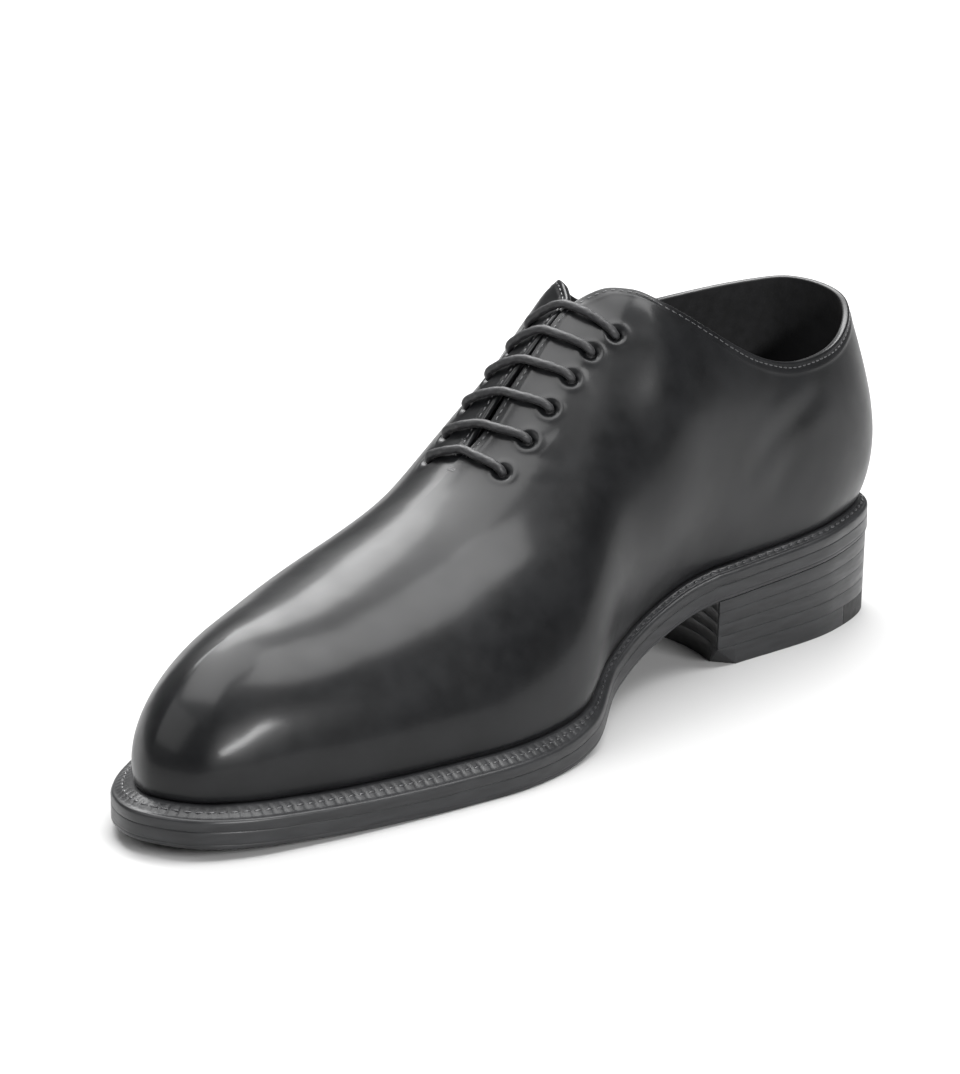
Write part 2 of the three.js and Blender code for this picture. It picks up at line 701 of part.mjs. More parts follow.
// A closed sheet from rows of paired points on its two faces.
function sheet(name, rows, material) {
    const across = rows[0].length;
    const points = [...rows.flat().map((p) => p.top), ...rows.flat().map((p) => p.foot)];
    const far = rows.length * across;
    const at = (k, m) => k * across + m;
    const faces = [];
    const quad = (a, b, c, d) => faces.push([a, b, c], [a, c, d]);
    for (let k = 0; k < rows.length - 1; k += 1) {
        for (let m = 0; m < across - 1; m += 1) {
            quad(at(k, m), at(k + 1, m), at(k + 1, m + 1), at(k, m + 1));
            quad(far + at(k, m), far + at(k, m + 1), far + at(k + 1, m + 1), far + at(k + 1, m));
        }
        quad(at(k, 0), far + at(k, 0), far + at(k + 1, 0), at(k + 1, 0));
        quad(at(k, across - 1), at(k + 1, across - 1), far + at(k + 1, across - 1), far + at(k, across - 1));
    }
    for (let m = 0; m < across - 1; m += 1) {
        const last = rows.length - 1;
        quad(at(0, m), at(0, m + 1), far + at(0, m + 1), far + at(0, m));
        quad(at(last, m), far + at(last, m), far + at(last, m + 1), at(last, m + 1));
    }
    return meshFrom(name, points, faces, material);
}

// Heel

// One side of the heel's outline, from the back to its breast corner.
function heelSide(loop, length) {
    const next = loop.findIndex((p) => p.x >= length);
    const before = loop[next - 1];
    const corner = before.clone().lerp(loop[next], (length - before.x) / (loop[next].x - before.x));
    return [...loop.slice(0, next).filter((p) => p.x < length - HEEL_CORNER_SPACE), corner];
}

// The heel's outline, this far inside the sole's: round the back, then the hollow breast.
function heelLoop(inset) {
    const loop = offsetLoop(outline, () => -inset);
    const medial = heelSide(loop.slice(0, SIDE_STEPS), HEEL_LENGTH_MEDIAL);
    const lateral = heelSide([loop[0], ...loop.slice(SIDE_STEPS).reverse()], HEEL_LENGTH_LATERAL);
    const middle = medial.at(-1).clone().add(lateral.at(-1)).multiplyScalar(0.5);
    middle.x -= 2 * BREAST_DEPTH;
    const breast = new THREE.QuadraticBezierCurve3(medial.at(-1), middle, lateral.at(-1)).getPoints(BREAST_STEPS);
    return [...medial.slice(0, -1), ...breast, ...lateral.slice(1, -1).reverse()];
}

// A slab with the same outline points below and above, its lids cut into triangles.
function slab(name, lower, upper, material) {
    const count = lower.length;
    const turned = ([a, b, c]) => [a, c, b];
    const rises = ([a, b, c]) => lower[b].clone().sub(lower[a]).cross(lower[c].clone().sub(lower[a])).z > 0;
    const lid = THREE.ShapeUtils.triangulateShape(lower.map((p) => new THREE.Vector2(p.x, p.y)), [])
        .map((face) => (rises(face) ? face : turned(face)));
    const walls = band(0, count, count);
    const faces = [
        ...lid.map((face) => face.map((v) => v + count)),
        ...lid.map(turned),
        ...(THREE.ShapeUtils.isClockWise(lower) ? walls.map(turned) : walls),
    ];
    return meshFrom(name, [...lower, ...upper], faces, material);
}

// The heel narrows evenly from the seat to the floor.
const heelInset = (share) => HEEL_INSET + HEEL_TAPER * (1 - share);
const liftTop = (x, k) => {
    const seat = undersideHeight(x) - TOP_PIECE_THICKNESS;
    return TOP_PIECE_THICKNESS + (seat * k) / LIFT_COUNT;
};

function makeLift(k) {
    const shareAt = (part) => (TOP_PIECE_THICKNESS + ((HEEL_HEIGHT_BACK - TOP_PIECE_THICKNESS) * part) / LIFT_COUNT)
        / HEEL_HEIGHT_BACK;
    const lower = ringAt(heelLoop(heelInset(shareAt(k - 1))), (x) => liftTop(x, k - 1));
    const upper = ringAt(heelLoop(heelInset(shareAt(k))), (x) => liftTop(x, k) - GAP);
    return slab(`heel_lift_${k}`, lower, upper, SOLE_LEATHER);
}

function makeTopPieces() {
    const lower = ringAt(heelLoop(heelInset(0)), () => 0);
    const upper = ringAt(heelLoop(heelInset(TOP_PIECE_THICKNESS / HEEL_HEIGHT_BACK)), () => TOP_PIECE_THICKNESS - GAP);
    const whole = solidFrom(slab('top_piece', lower, upper, SOLE_LEATHER).geometry);
    const seam = (offset) => {
        const far = SOLE_LENGTH;
        const slope = (RUBBER_LENGTH_MEDIAL - RUBBER_LENGTH_LATERAL) / HEEL_SEAM_WIDTH;
        const middle = (RUBBER_LENGTH_MEDIAL + RUBBER_LENGTH_LATERAL) / 2 + offset;
        return [
            new THREE.Vector3(middle + slope * far, far, 0),
            new THREE.Vector3(-far, far, 0),
            new THREE.Vector3(-far, -far, 0),
            new THREE.Vector3(middle - slope * far, -far, 0),
        ];
    };
    const block = (points) => {
        const raised = (z) => points.map((p) => new THREE.Vector3(p.x, p.y, z));
        return solidFrom(slab('block', raised(-TOP_PIECE_THICKNESS), raised(2 * TOP_PIECE_THICKNESS), RUBBER).geometry);
    };
    const behind = block(seam(-GAP / 2));
    const notBehind = block(seam(GAP / 2));
    const loop = heelLoop(heelInset(0));
    const corner = loop.reduce((best, p) => (p.x > best.x ? p : best));
    const breast = corner.clone().add(new THREE.Vector3(-HEEL_CORNER_CUT * HEEL_CORNER_TURN, -HEEL_CORNER_CUT, 0));
    const side = corner.clone().add(new THREE.Vector3(-HEEL_CORNER_CUT, 0, 0));
    const outside = corner.clone().add(new THREE.Vector3(HEEL_CORNER_CUT, HEEL_CORNER_CUT, 0));
    const facet = cornerWedge(side, breast, outside, corner);
    return [
        meshOf('top_piece_leather', whole.subtract(notBehind).subtract(facet), SOLE_LEATHER),
        meshOf('top_piece_rubber', whole.intersect(behind), RUBBER),
    ];
}

// The wedge that cuts the medial corner of the breast at the floor: widest below, nothing at
// the top piece's upper face.
function cornerWedge(side, breast, outside, corner) {
    const low = -GAP;
    const at = (p, z) => new THREE.Vector3(p.x, p.y, z);
    const grow = (p) => corner.clone().lerp(p, 1 + GAP / TOP_PIECE_THICKNESS);
    const high = TOP_PIECE_THICKNESS - GAP;
    const points = [at(grow(side), low), at(grow(breast), low), at(outside, low), at(corner, high), at(outside, high)];
    const faces = [[0, 1, 3], [1, 2, 4], [1, 4, 3], [2, 0, 4], [0, 3, 4], [0, 2, 1]];
    return solidFrom(meshFrom('wedge', points, faces, RUBBER).geometry);
}

const lifts = Array.from({ length: LIFT_COUNT }, (_, k) => makeLift(k + 1));

const pieces = [
    makeOutsole(),
    makeWelt(),
    makeInsole(),
    makeUpper(),
    makeTongue(),
    makeLace(),
    ...lifts,
    ...makeTopPieces(),
];

const shoe = new THREE.Group();
shoe.name = 'whole_cut_oxford';
shoe.add(...pieces);
const middle = new THREE.Box3().setFromObject(shoe).getCenter(new THREE.Vector3());
shoe.position.set(-middle.x, -middle.y, 0);
export default shoe;
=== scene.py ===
"""Looks of a black whole cut oxford, a right shoe that stands empty on its sole.

The form is worked out in millimetres, with x from the back of the heel to the toe, y to the
inner side and z up from the floor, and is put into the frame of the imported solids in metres.
"""

from __future__ import annotations

import logging
import math
from collections.abc import Callable, Sequence
from dataclasses import dataclass, field
from enum import Enum
from functools import partial

import bmesh
import bpy
import numpy as np
from mathutils import Matrix, Quaternion, Vector

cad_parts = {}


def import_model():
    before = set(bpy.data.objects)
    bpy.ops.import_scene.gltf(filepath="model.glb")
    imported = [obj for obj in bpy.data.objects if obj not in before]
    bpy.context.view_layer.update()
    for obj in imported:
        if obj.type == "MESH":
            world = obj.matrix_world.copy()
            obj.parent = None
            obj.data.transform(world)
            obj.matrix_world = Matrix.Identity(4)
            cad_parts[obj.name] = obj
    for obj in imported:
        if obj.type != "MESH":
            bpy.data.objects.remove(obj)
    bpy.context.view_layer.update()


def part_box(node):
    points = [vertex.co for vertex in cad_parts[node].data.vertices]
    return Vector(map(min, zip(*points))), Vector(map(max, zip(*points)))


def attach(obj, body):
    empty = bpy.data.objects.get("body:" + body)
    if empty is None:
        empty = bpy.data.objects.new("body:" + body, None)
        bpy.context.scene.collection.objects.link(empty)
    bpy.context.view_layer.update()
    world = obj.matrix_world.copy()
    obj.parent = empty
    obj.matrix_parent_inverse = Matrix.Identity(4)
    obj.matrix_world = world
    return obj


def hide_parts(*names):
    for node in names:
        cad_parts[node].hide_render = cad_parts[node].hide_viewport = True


LOG = logging.getLogger("whole_cut")
MM = 0.001
# Points closer than this are one, in metres.
WELD = 2e-6
# How far along w neighbours are taken, and along a rib in millimetres, to find a normal.
NORMAL_STEP = 0.004
NORMAL_REACH = 0.4
# Half the length of outline that gives its direction, in millimetres.
OUTLINE_REACH = 3.3
RIB_STEP = 0.01
SLIT_BLEND = 0.05
TIP_SPREAD = 0.013
BISECTIONS = 22

Triple = tuple[float, float, float]

# Sole outline: along the length, then the medial and lateral half widths, as shares.
OUTLINE = (
    (0.026, 0.228, 0.206),
    (0.116, 0.322, 0.289),
    (0.248, 0.292, 0.331),
    (0.347, 0.250, 0.366),
    (0.446, 0.303, 0.418),
    (0.545, 0.456, 0.476),
    (0.644, 0.494, 0.505),
    (0.726, 0.456, 0.483),
    (0.809, 0.400, 0.405),
    (0.884, 0.337, 0.308),
    (0.944, 0.270, 0.207),
    (0.983, 0.180, 0.101),
)
# Underside from the breast to the flat forepart: way, height as a share of the breast's.
WAIST = (
    (0.00, 1.000),
    (0.08, 0.925),
    (0.20, 0.760),
    (0.35, 0.570),
    (0.50, 0.372),
    (0.65, 0.198),
    (0.80, 0.080),
    (0.90, 0.024),
    (1.00, 0.000),
)
# Share of the welt's margin on each side, and of its rise, from the heel to the toe.
MARGIN = (
    (0.00, 0.52, 0.52, 0.50),
    (0.24, 0.50, 0.54, 0.50),
    (0.42, 0.44, 0.60, 0.50),
    (0.52, 0.56, 0.74, 0.66),
    (0.62, 0.90, 0.94, 0.92),
    (0.75, 1.00, 1.00, 1.00),
    (1.00, 1.00, 1.00, 1.00),
)
# Ribs of the upper: around, then x, y and z of the top, out and up at the foot, away and drop
# at the top.
MEDIAL_RIBS = (
    (0.000, 0.012, 0.000, 0.665, 0.180, 0.32, 0.046, 0.38),
    (0.050, 0.018, 0.108, 0.645, 0.175, 0.32, 0.056, 0.38),
    (0.100, 0.046, 0.186, 0.597, 0.150, 0.31, 0.065, 0.38),
    (0.155, 0.098, 0.242, 0.562, 0.115, 0.30, 0.065, 0.38),
    (0.215, 0.160, 0.264, 0.576, 0.095, 0.30, 0.065, 0.37),
    (0.271, 0.222, 0.262, 0.646, 0.115, 0.30, 0.075, 0.36),
    (0.320, 0.284, 0.236, 0.782, 0.150, 0.30, 0.115, 0.33),
    (0.360, 0.326, 0.180, 0.910, 0.180, 0.30, 0.175, 0.28),
    (0.392, 0.350, 0.100, 0.988, 0.190, 0.31, 0.240, 0.16),
    (0.414, 0.368, 0.032, 1.005, 0.190, 0.32, 0.280, 0.10),
    (0.428, 0.383, -0.006, 0.998, 0.185, 0.33, 0.295, 0.08),
    (0.445, 0.402, -0.020, 0.978, 0.175, 0.33, 0.305, 0.06),
    (0.500, 0.470, -0.022, 0.868, 0.130, 0.34, 0.320, 0.035),
    (0.560, 0.535, -0.020, 0.730, 0.080, 0.36, 0.305, 0.02),
    (0.633, 0.612, -0.012, 0.618, 0.075, 0.40, 0.285, 0.01),
    (0.707, 0.694, -0.004, 0.540, 0.090, 0.42, 0.260, 0.00),
    (0.781, 0.765, 0.005, 0.488, 0.110, 0.42, 0.230, 0.00),
    (0.850, 0.820, 0.010, 0.456, 0.120, 0.43, 0.195, 0.00),
    (0.907, 0.852, 0.014, 0.436, 0.120, 0.44, 0.175, 0.00),
    (0.950, 0.868, 0.018, 0.423, 0.115, 0.45, 0.170, 0.00),
    (1.000, 0.880, 0.022, 0.412, 0.110, 0.45, 0.175, 0.00),
)
LATERAL_RIBS = (
    (0.000, 0.012, 0.000, 0.665, 0.180, 0.32, 0.046, 0.38),
    (0.050, 0.018, -0.104, 0.668, 0.175, 0.32, 0.056, 0.38),
    (0.100, 0.046, -0.182, 0.662, 0.155, 0.31, 0.065, 0.38),
    (0.155, 0.098, -0.246, 0.662, 0.125, 0.30, 0.065, 0.38),
    (0.215, 0.160, -0.276, 0.672, 0.105, 0.30, 0.065, 0.37),
    (0.271, 0.222, -0.276, 0.702, 0.095, 0.30, 0.075, 0.36),
    (0.320, 0.284, -0.248, 0.788, 0.095, 0.30, 0.115, 0.33),
    (0.360, 0.326, -0.204, 0.896, 0.095, 0.30, 0.165, 0.28),
    (0.392, 0.349, -0.152, 0.966, 0.095, 0.31, 0.210, 0.20),
    (0.414, 0.366, -0.092, 0.984, 0.095, 0.32, 0.240, 0.15),
    (0.428, 0.382, -0.042, 0.983, 0.095, 0.33, 0.255, 0.12),
    (0.445, 0.402, -0.022, 0.972, 0.095, 0.33, 0.250, 0.12),
    (0.500, 0.470, -0.022, 0.868, 0.080, 0.34, 0.240, 0.09),
    (0.560, 0.535, -0.020, 0.730, 0.060, 0.36, 0.240, 0.05),
    (0.633, 0.612, -0.012, 0.618, 0.055, 0.40, 0.256, 0.02),
    (0.707, 0.694, -0.004, 0.540, 0.075, 0.42, 0.258, 0.00),
    (0.781, 0.765, 0.005, 0.488, 0.100, 0.42, 0.235, 0.00),
    (0.850, 0.820, 0.010, 0.456, 0.110, 0.43, 0.195, 0.00),
    (0.907, 0.852, 0.014, 0.436, 0.110, 0.44, 0.160, 0.00),
    (0.950, 0.868, 0.018, 0.423, 0.110, 0.45, 0.155, 0.00),
    (1.000, 0.880, 0.022, 0.412, 0.110, 0.45, 0.175, 0.00),
)
# Lace bars from the lowest to the top one: crossing, medial and lateral hole, medial set back.
BARS = (
    (0.545, 14.5, 13.0, 1.0),
    (0.518, 14.5, 13.0, 3.0),
    (0.489, 15.0, 13.5, 3.5),
    (0.459, 15.8, 13.5, 4.0),
    (0.430, 16.6, 14.0, 4.0),
    (0.401, 17.0, 14.0, 4.0),
)


class Side(Enum):
    """The inner and the outer side of the shoe."""

    MEDIAL = 1
    LATERAL = -1


# Numbers, curves and grids


class SmoothCurve:
    """A smooth curve through pairs of numbers that doesn't overshoot between them."""

    def __init__(self, at: Sequence[float], value: Sequence[float]) -> None:
        """Works out the slope at each pair.

        Args:
            at: Rising places.
            value: The curve's value at each place.
        """
        self.at = np.asarray(at, float)
        self.value = np.asarray(value, float)
        step = np.diff(self.at)
        rise = np.diff(self.value) / step
        slope = np.zeros(len(self.at))
        slope[0], slope[-1] = rise[0], rise[-1]
        for i in range(1, len(slope) - 1):
            if rise[i - 1] * rise[i] > 0:
                before = 2 * step[i] + step[i - 1]
                after = step[i] + 2 * step[i - 1]
                slope[i] = (before + after) / (before / rise[i - 1] + after / rise[i])
        self.step, self.slope = step, slope

    def __call__(self, x: np.ndarray | float) -> np.ndarray:
        """Returns the value at each x, level beyond the ends."""
        x = np.asarray(x, float)
        i = np.clip(np.searchsorted(self.at, x, side="right") - 1, 0, len(self.step) - 1)
        t = np.clip((x - self.at[i]) / self.step[i], 0, 1)
        h = self.step[i]
        return (
            (2 * t**3 - 3 * t**2 + 1) * self.value[i]
            + (t**3 - 2 * t**2 + t) * h * self.slope[i]
            + (3 * t**2 - 2 * t**3) * self.value[i + 1]
            + (t**3 - t**2) * h * self.slope[i + 1]
        )


def smoothstep(x: np.ndarray | float, low: float, high: float) -> np.ndarray:
    """Returns 0 below low and 1 above high, with a soft step between them."""
    t = np.clip((np.asarray(x, float) - low) / (high - low), 0, 1)
    return t * t * (3 - 2 * t)


def unit(vectors: np.ndarray) -> np.ndarray:
    """Returns the vectors at length 1."""
    return vectors / np.maximum(np.linalg.norm(vectors, axis=-1, keepdims=True), 1e-12)


def run_length(points: np.ndarray) -> np.ndarray:
    """Returns the length of a polyline up to each of its points."""
    return np.concatenate([[0], np.cumsum(np.linalg.norm(np.diff(points, axis=0), axis=1))])


def share_of(w: np.ndarray) -> np.ndarray:
    """Returns how far along its side each w lies, from the heel's back to the toe tip."""
    return 1 - np.abs(1 - w)


def curve_through(points: np.ndarray, per_span: int, closed: bool) -> np.ndarray:
    """Draws a centripetal curve through points.

    Args:
        points: The points, one per row.
        per_span: How many points to return between two of them.
        closed: Whether the last point runs back to the first.

    Returns:
        The curve's points, one per row.
    """
    points = np.asarray(points, float)
    n = len(points)
    spans = n if closed else n - 1
    if not closed:
        points = np.vstack([2 * points[0] - points[1], points, 2 * points[-1] - points[-2]])
    t = np.linspace(0, 1, per_span, endpoint=False)[:, None]
    out = []
    for i in range(spans):
        ids = [(i + k - 1) % n for k in range(4)] if closed else [i, i + 1, i + 2, i + 3]
        p0, p1, p2, p3 = points[ids]
        pairs = ((p0, p1), (p1, p2), (p2, p3))
        d0, d1, d2 = (math.sqrt(np.linalg.norm(b - a)) for a, b in pairs)
        m1 = ((p1 - p0) / d0 - (p2 - p0) / (d0 + d1) + (p2 - p1) / d1) * d1
        m2 = ((p2 - p1) / d1 - (p3 - p1) / (d1 + d2) + (p3 - p2) / d2) * d1
        square, cube = 3 * (p2 - p1) - 2 * m1 - m2, 2 * (p1 - p2) + m1 + m2
        out.append(p1 + m1 * t + square * t**2 + cube * t**3)
    if not closed:
        out.append(points[-2][None, :])
    return np.vstack(out)


def even_points(points: np.ndarray, pitch: float) -> np.ndarray:
    """Returns evenly spaced places along a polyline, counted in its own points."""
    length = run_length(points)
    count = max(2, round(length[-1] / pitch))
    return np.interp((np.arange(count) + 0.5) * length[-1] / count, length, np.arange(len(points)))


def along_line(points: np.ndarray, places: np.ndarray) -> np.ndarray:
    """Returns the points of a polyline at places counted in its own points."""
    index = np.arange(len(points))
    return np.stack([np.interp(places, index, points[:, k]) for k in range(3)], -1)


def grid_normals(grid: np.ndarray) -> np.ndarray:
    """Returns the normals of a grid of points whose first and last columns are the same."""
    wrapped = np.concatenate([grid[-2:-1], grid, grid[1:2]])
    along = wrapped[2:] - wrapped[:-2]
    across = np.gradient(grid, axis=1)
    return unit(np.cross(along, across))


# The shoe's form


@dataclass
class Last:
    """The form that every piece shares, in millimetres."""

    sole_length: float = 303.0
    ball_width: float = 103.0
    toe_tip_side: float = 0.024
    heel_height_back: float = 25.6
    heel_height_breast: float = 20.7
    seat_end: float = 85.3
    flat_start: float = 0.614
    spring_start: float = 0.700
    toe_spring: float = 4.0
    outsole_thickness: float = 5.0
    welt_thickness: float = 3.1
    welt_rise: float = 2.4
    welt_margin: float = 6.4
    upper_height: float = 92.0
    upper_wall: float = 1.9
    slit_top: float = 0.428
    slit_bottom: float = 0.575
    slit_gap: float = 2.6
    tip_round: float = 1.1
    rib_turn: float = 20.0
    gap: float = 0.3
    origin: np.ndarray = field(default_factory=lambda: np.zeros(3))

    def __post_init__(self) -> None:
        """Draws the sole's outline and the curves of the tables."""
        rows = np.array(OUTLINE)
        size = np.array([self.sole_length, self.ball_width])
        medial = rows[:, [0, 1]] * size
        lateral = rows[::-1][:, [0, 2]] * size * [1, -1]
        tip = np.array([[1.0, self.toe_tip_side]]) * size
        loop = curve_through(np.vstack([[[0, 0]], medial, tip, lateral]), 160, True)
        self._loop = np.vstack([loop, loop[:1]])
        self._arc = run_length(self._loop)
        self.whole = self._arc[-1]
        self._toe = self._arc[np.argmax(self._loop[:, 0])]
        waist, margin = np.array(WAIST), np.array(MARGIN)
        self._waist = SmoothCurve(waist[:, 0], waist[:, 1])
        self._margin = {
            side: SmoothCurve(margin[:, 0], margin[:, k]) for k, side in enumerate(Side, 1)
        }
        self._rise = SmoothCurve(margin[:, 0], margin[:, 3])
        names = ("x", "y", "z", "out", "up", "away", "drop")
        tables = zip(Side, (np.array(MEDIAL_RIBS), np.array(LATERAL_RIBS)))
        self._ribs = {
            side: {name: SmoothCurve(table[:, 0], table[:, k]) for k, name in enumerate(names, 1)}
            for side, table in tables
        }
        places = [0, self.slit_top, 0.460, 0.500, 0.540, self.slit_bottom, 1]
        self._slit = SmoothCurve(places, [0, 0.16, 0.16, 0.42, 0.5, 0, 0])

    def to_frame(self, points: np.ndarray) -> np.ndarray:
        """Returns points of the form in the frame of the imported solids, in metres."""
        return (points - self.origin) * MM

    def fit(self) -> None:
        """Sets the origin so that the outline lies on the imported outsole."""
        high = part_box("outsole")[1]
        self.origin = np.array([
            self._loop[:, 0].max() - high[0] / MM,
            self._loop[:, 1].max() - high[1] / MM,
            0.0,
        ])

    # Around the shoe, w runs from 0 at the heel's back along the medial side to 1 at the toe
    # tip, and on along the lateral side to 2.

    def _outline_at(self, arc: np.ndarray) -> np.ndarray:
        """Returns outline points at lengths along the outline."""
        arc = np.mod(arc, self.whole)
        return np.stack([np.interp(arc, self._arc, self._loop[:, k]) for k in (0, 1)], -1)

    def arc(self, w: np.ndarray) -> np.ndarray:
        """Returns the length along the outline at each w."""
        w = np.asarray(w, float)
        beyond = self._toe + (self.whole - self._toe) * (w - 1)
        return np.where(w <= 1, self._toe * w, beyond)

    def w_at(self, arc: np.ndarray) -> np.ndarray:
        """Returns w at each length along the outline."""
        beyond = 1 + (arc - self._toe) / (self.whole - self._toe)
        return np.where(arc <= self._toe, arc / self._toe, beyond)

    def loop(self, w: np.ndarray, inset: np.ndarray | float) -> np.ndarray:
        """Returns points this far inside the outline, level at 0."""
        arc = self.arc(w)
        fore, back = self._outline_at(arc + OUTLINE_REACH), self._outline_at(arc - OUTLINE_REACH)
        along = unit(fore - back)
        outward = np.stack([-along[..., 1], along[..., 0]], -1)
        flat = self._outline_at(arc) - outward * np.asarray(inset, float)[..., None]
        return np.concatenate([flat, np.zeros(flat.shape[:-1] + (1,))], -1)

    def ring(
        self,
        w: np.ndarray,
        inset: np.ndarray | float,
        height: Callable[[np.ndarray], np.ndarray],
        move: np.ndarray | float = 0.0,
    ) -> np.ndarray:
        """Draws a line around the shoe.

        Args:
            w: Places around the shoe.
            inset: How far inside the outline it runs.
            height: Gives the height at each x.
            move: What is added to the height.

        Returns:
            The line's points.
        """
        points = self.loop(w, inset + 0 * w)
        points[:, 2] = height(points[:, 0]) + move
        return points

    def underside(self, x: np.ndarray) -> np.ndarray:
        """Returns the height of the outsole's underside at each x."""
        x = np.asarray(x, float)
        flat, spring = self.flat_start * self.sole_length, self.spring_start * self.sole_length
        fall = self.heel_height_breast - self.heel_height_back
        seat = self.heel_height_back + fall * x / self.seat_end
        waist = self.heel_height_breast * self._waist((x - self.seat_end) / (flat - self.seat_end))
        toe = self.toe_spring * np.clip((x - spring) / (self.sole_length - spring), 0, None) ** 2
        return np.where(x < self.seat_end, seat, np.where(x < flat, waist, toe))

    def outsole_top(self, x: np.ndarray) -> np.ndarray:
        """Returns the height of the outsole's upper face."""
        return self.underside(x) + self.outsole_thickness

    def welt_bottom(self, x: np.ndarray) -> np.ndarray:
        """Returns the height of the welt's lower face."""
        return self.outsole_top(x) + self.gap

    def welt_top(self, x: np.ndarray) -> np.ndarray:
        """Returns the height of the welt's upper face at its edge."""
        return self.welt_bottom(x) + self.welt_thickness

    def welt_inner_top(self, x: np.ndarray) -> np.ndarray:
        """Returns the height of the welt's upper face at the feather line."""
        return self.welt_top(x) + self.welt_rise * self._rise(x / self.sole_length)

    def margin(self, w: np.ndarray) -> np.ndarray:
        """Returns how far the welt stands out beyond the upper."""
        medial, lateral = (self._margin[side](share_of(w)) for side in Side)
        return self.welt_margin * np.where(w <= 1, medial, lateral)

    def feather(self, w: np.ndarray) -> np.ndarray:
        """Returns points of the line where the upper meets the welt."""
        return self.ring(w, self.margin(w), self.welt_inner_top, self.gap)

    def _rib(self, name: str, w: np.ndarray) -> np.ndarray:
        """Returns one column of the rib tables at each w."""
        medial, lateral = (self._ribs[side][name](share_of(w)) for side in Side)
        return np.where(w <= 1, medial, lateral)

    def rib_share(self, x: float) -> float:
        """Returns the share along the medial side whose rib starts at x, both as shares."""
        shares = np.linspace(0.3, 0.8, 2001)
        return float(np.interp(x, self._ribs[Side.MEDIAL]["x"](shares), shares))

    def crest(self, w: np.ndarray) -> np.ndarray:
        """Returns the tops of the ribs: the top edge, the slit's edges and the ridge."""
        share = share_of(w)
        side = np.where(w <= 1, 1.0, -1.0)
        x = self._rib("x", w) * self.sole_length
        y = self._rib("y", w) * self.ball_width + side * self._slit(share) * self.slit_gap
        z = self.welt_inner_top(x) + self.gap + self._rib("z", w) * self.upper_height
        z = z - self.tip_round * np.exp(-(((share - self.slit_top) / TIP_SPREAD) ** 2))
        return np.stack([x, y, z], -1)

    def _ridge_slope(self, w: np.ndarray) -> np.ndarray:
        """Returns the slope of the ridge along the shoe, faded out behind the slit."""
        share = share_of(w)
        middle = np.minimum(share, 1 - RIB_STEP)
        back, fore = (
            np.where(w <= 1, middle + step, 2 - (middle + step)) for step in (-RIB_STEP, RIB_STEP)
        )
        before, after = self.crest(np.clip(back, 0, 2)), self.crest(fore)
        blend = smoothstep(share, self.slit_top - SLIT_BLEND, self.slit_top + SLIT_BLEND)
        return blend * (after[..., 2] - before[..., 2]) / (after[..., 0] - before[..., 0])

    def rib_lines(self, w: np.ndarray, count: int = 161) -> tuple[np.ndarray, np.ndarray]:
        """Draws the ribs.

        Args:
            w: Places around the shoe.
            count: Points on each rib.

        Returns:
            The points from each rib's top to its foot, and their lengths from the top.
        """
        w = np.atleast_1d(np.asarray(w, float))
        foot, top = self.feather(w), self.crest(w)
        ahead, behind = np.mod(w + RIB_STEP, 2), np.mod(w - RIB_STEP, 2)
        along = unit(self.feather(ahead) - self.feather(behind))
        outward = unit(np.stack([-along[:, 1], along[:, 0], 0 * along[:, 0]], -1))
        height = (top[:, 2] - foot[:, 2])[:, None]
        lift = np.array([0.0, 0.0, 1.0])
        names = ("out", "up", "away", "drop")
        out, up, away, drop = (self._rib(name, w)[:, None] for name in names)
        lower = foot + outward * out * height + lift * up * height
        towards = unit((foot - top) * [1, 1, 0] + outward * self.rib_turn)
        reach = away * self.ball_width
        slope = self._ridge_slope(w)[:, None] * towards[:, :1] * reach
        upper = top + towards * reach + lift * (slope - drop * height)
        t = np.linspace(1, 0, count)[None, :, None]
        a, b, c, d = (p[:, None, :] for p in (foot, lower, upper, top))
        line = a * (1 - t) ** 3 + 3 * b * t * (1 - t) ** 2 + 3 * c * t**2 * (1 - t) + d * t**3
        steps = np.linalg.norm(np.diff(line, axis=1), axis=2)
        length = np.concatenate([np.zeros((len(w), 1)), np.cumsum(steps, axis=1)], axis=1)
        return line, length

    def on_ribs(self, w: np.ndarray, distance: np.ndarray) -> np.ndarray:
        """Returns points of the upper's outer face.

        Args:
            w: Places around the shoe, one per rib.
            distance: How far down each rib, a row of distances per rib.

        Returns:
            An array of points, ribs by distances.
        """
        line, length = self.rib_lines(w)
        out = np.empty(distance.shape + (3,))
        for i in range(len(line)):
            for k in range(3):
                out[i, :, k] = np.interp(distance[i], length[i], line[i, :, k])
        return out

    def place(
        self, w: np.ndarray | float, distance: np.ndarray | float
    ) -> tuple[np.ndarray, np.ndarray]:
        """Finds places on the upper's outer face.

        Args:
            w: Places around the shoe.
            distance: How far each lies down its rib.

        Returns:
            The points and the directions out of the leather.
        """
        w = np.atleast_1d(np.asarray(w, float))
        distance = np.broadcast_to(np.asarray(distance, float), w.shape)
        above = np.maximum(distance - NORMAL_REACH, 0)
        here = self.on_ribs(w, np.stack([above, distance, distance + NORMAL_REACH], -1))
        fore, back = (
            self.on_ribs(np.mod(w + step, 2), distance[:, None])[:, 0]
            for step in (NORMAL_STEP, -NORMAL_STEP)
        )
        return here[:, 1], unit(np.cross(fore - back, here[:, 2] - here[:, 0]))

    def place_along(
        self, side: Side, x: float, distance: float
    ) -> tuple[np.ndarray, np.ndarray]:
        """Finds the place beside the slit that lies at this x, this far from the slit."""
        low, high = self.slit_top - 0.05, self.slit_bottom + 0.15
        for _ in range(BISECTIONS):
            middle = (low + high) / 2
            w = middle if side is Side.MEDIAL else 2 - middle
            if self.on_ribs(np.array([w]), np.array([[distance]]))[0, 0, 0] < x:
                low = middle
            else:
                high = middle
        point, normal = self.place(w, distance)
        return point[0], normal[0]

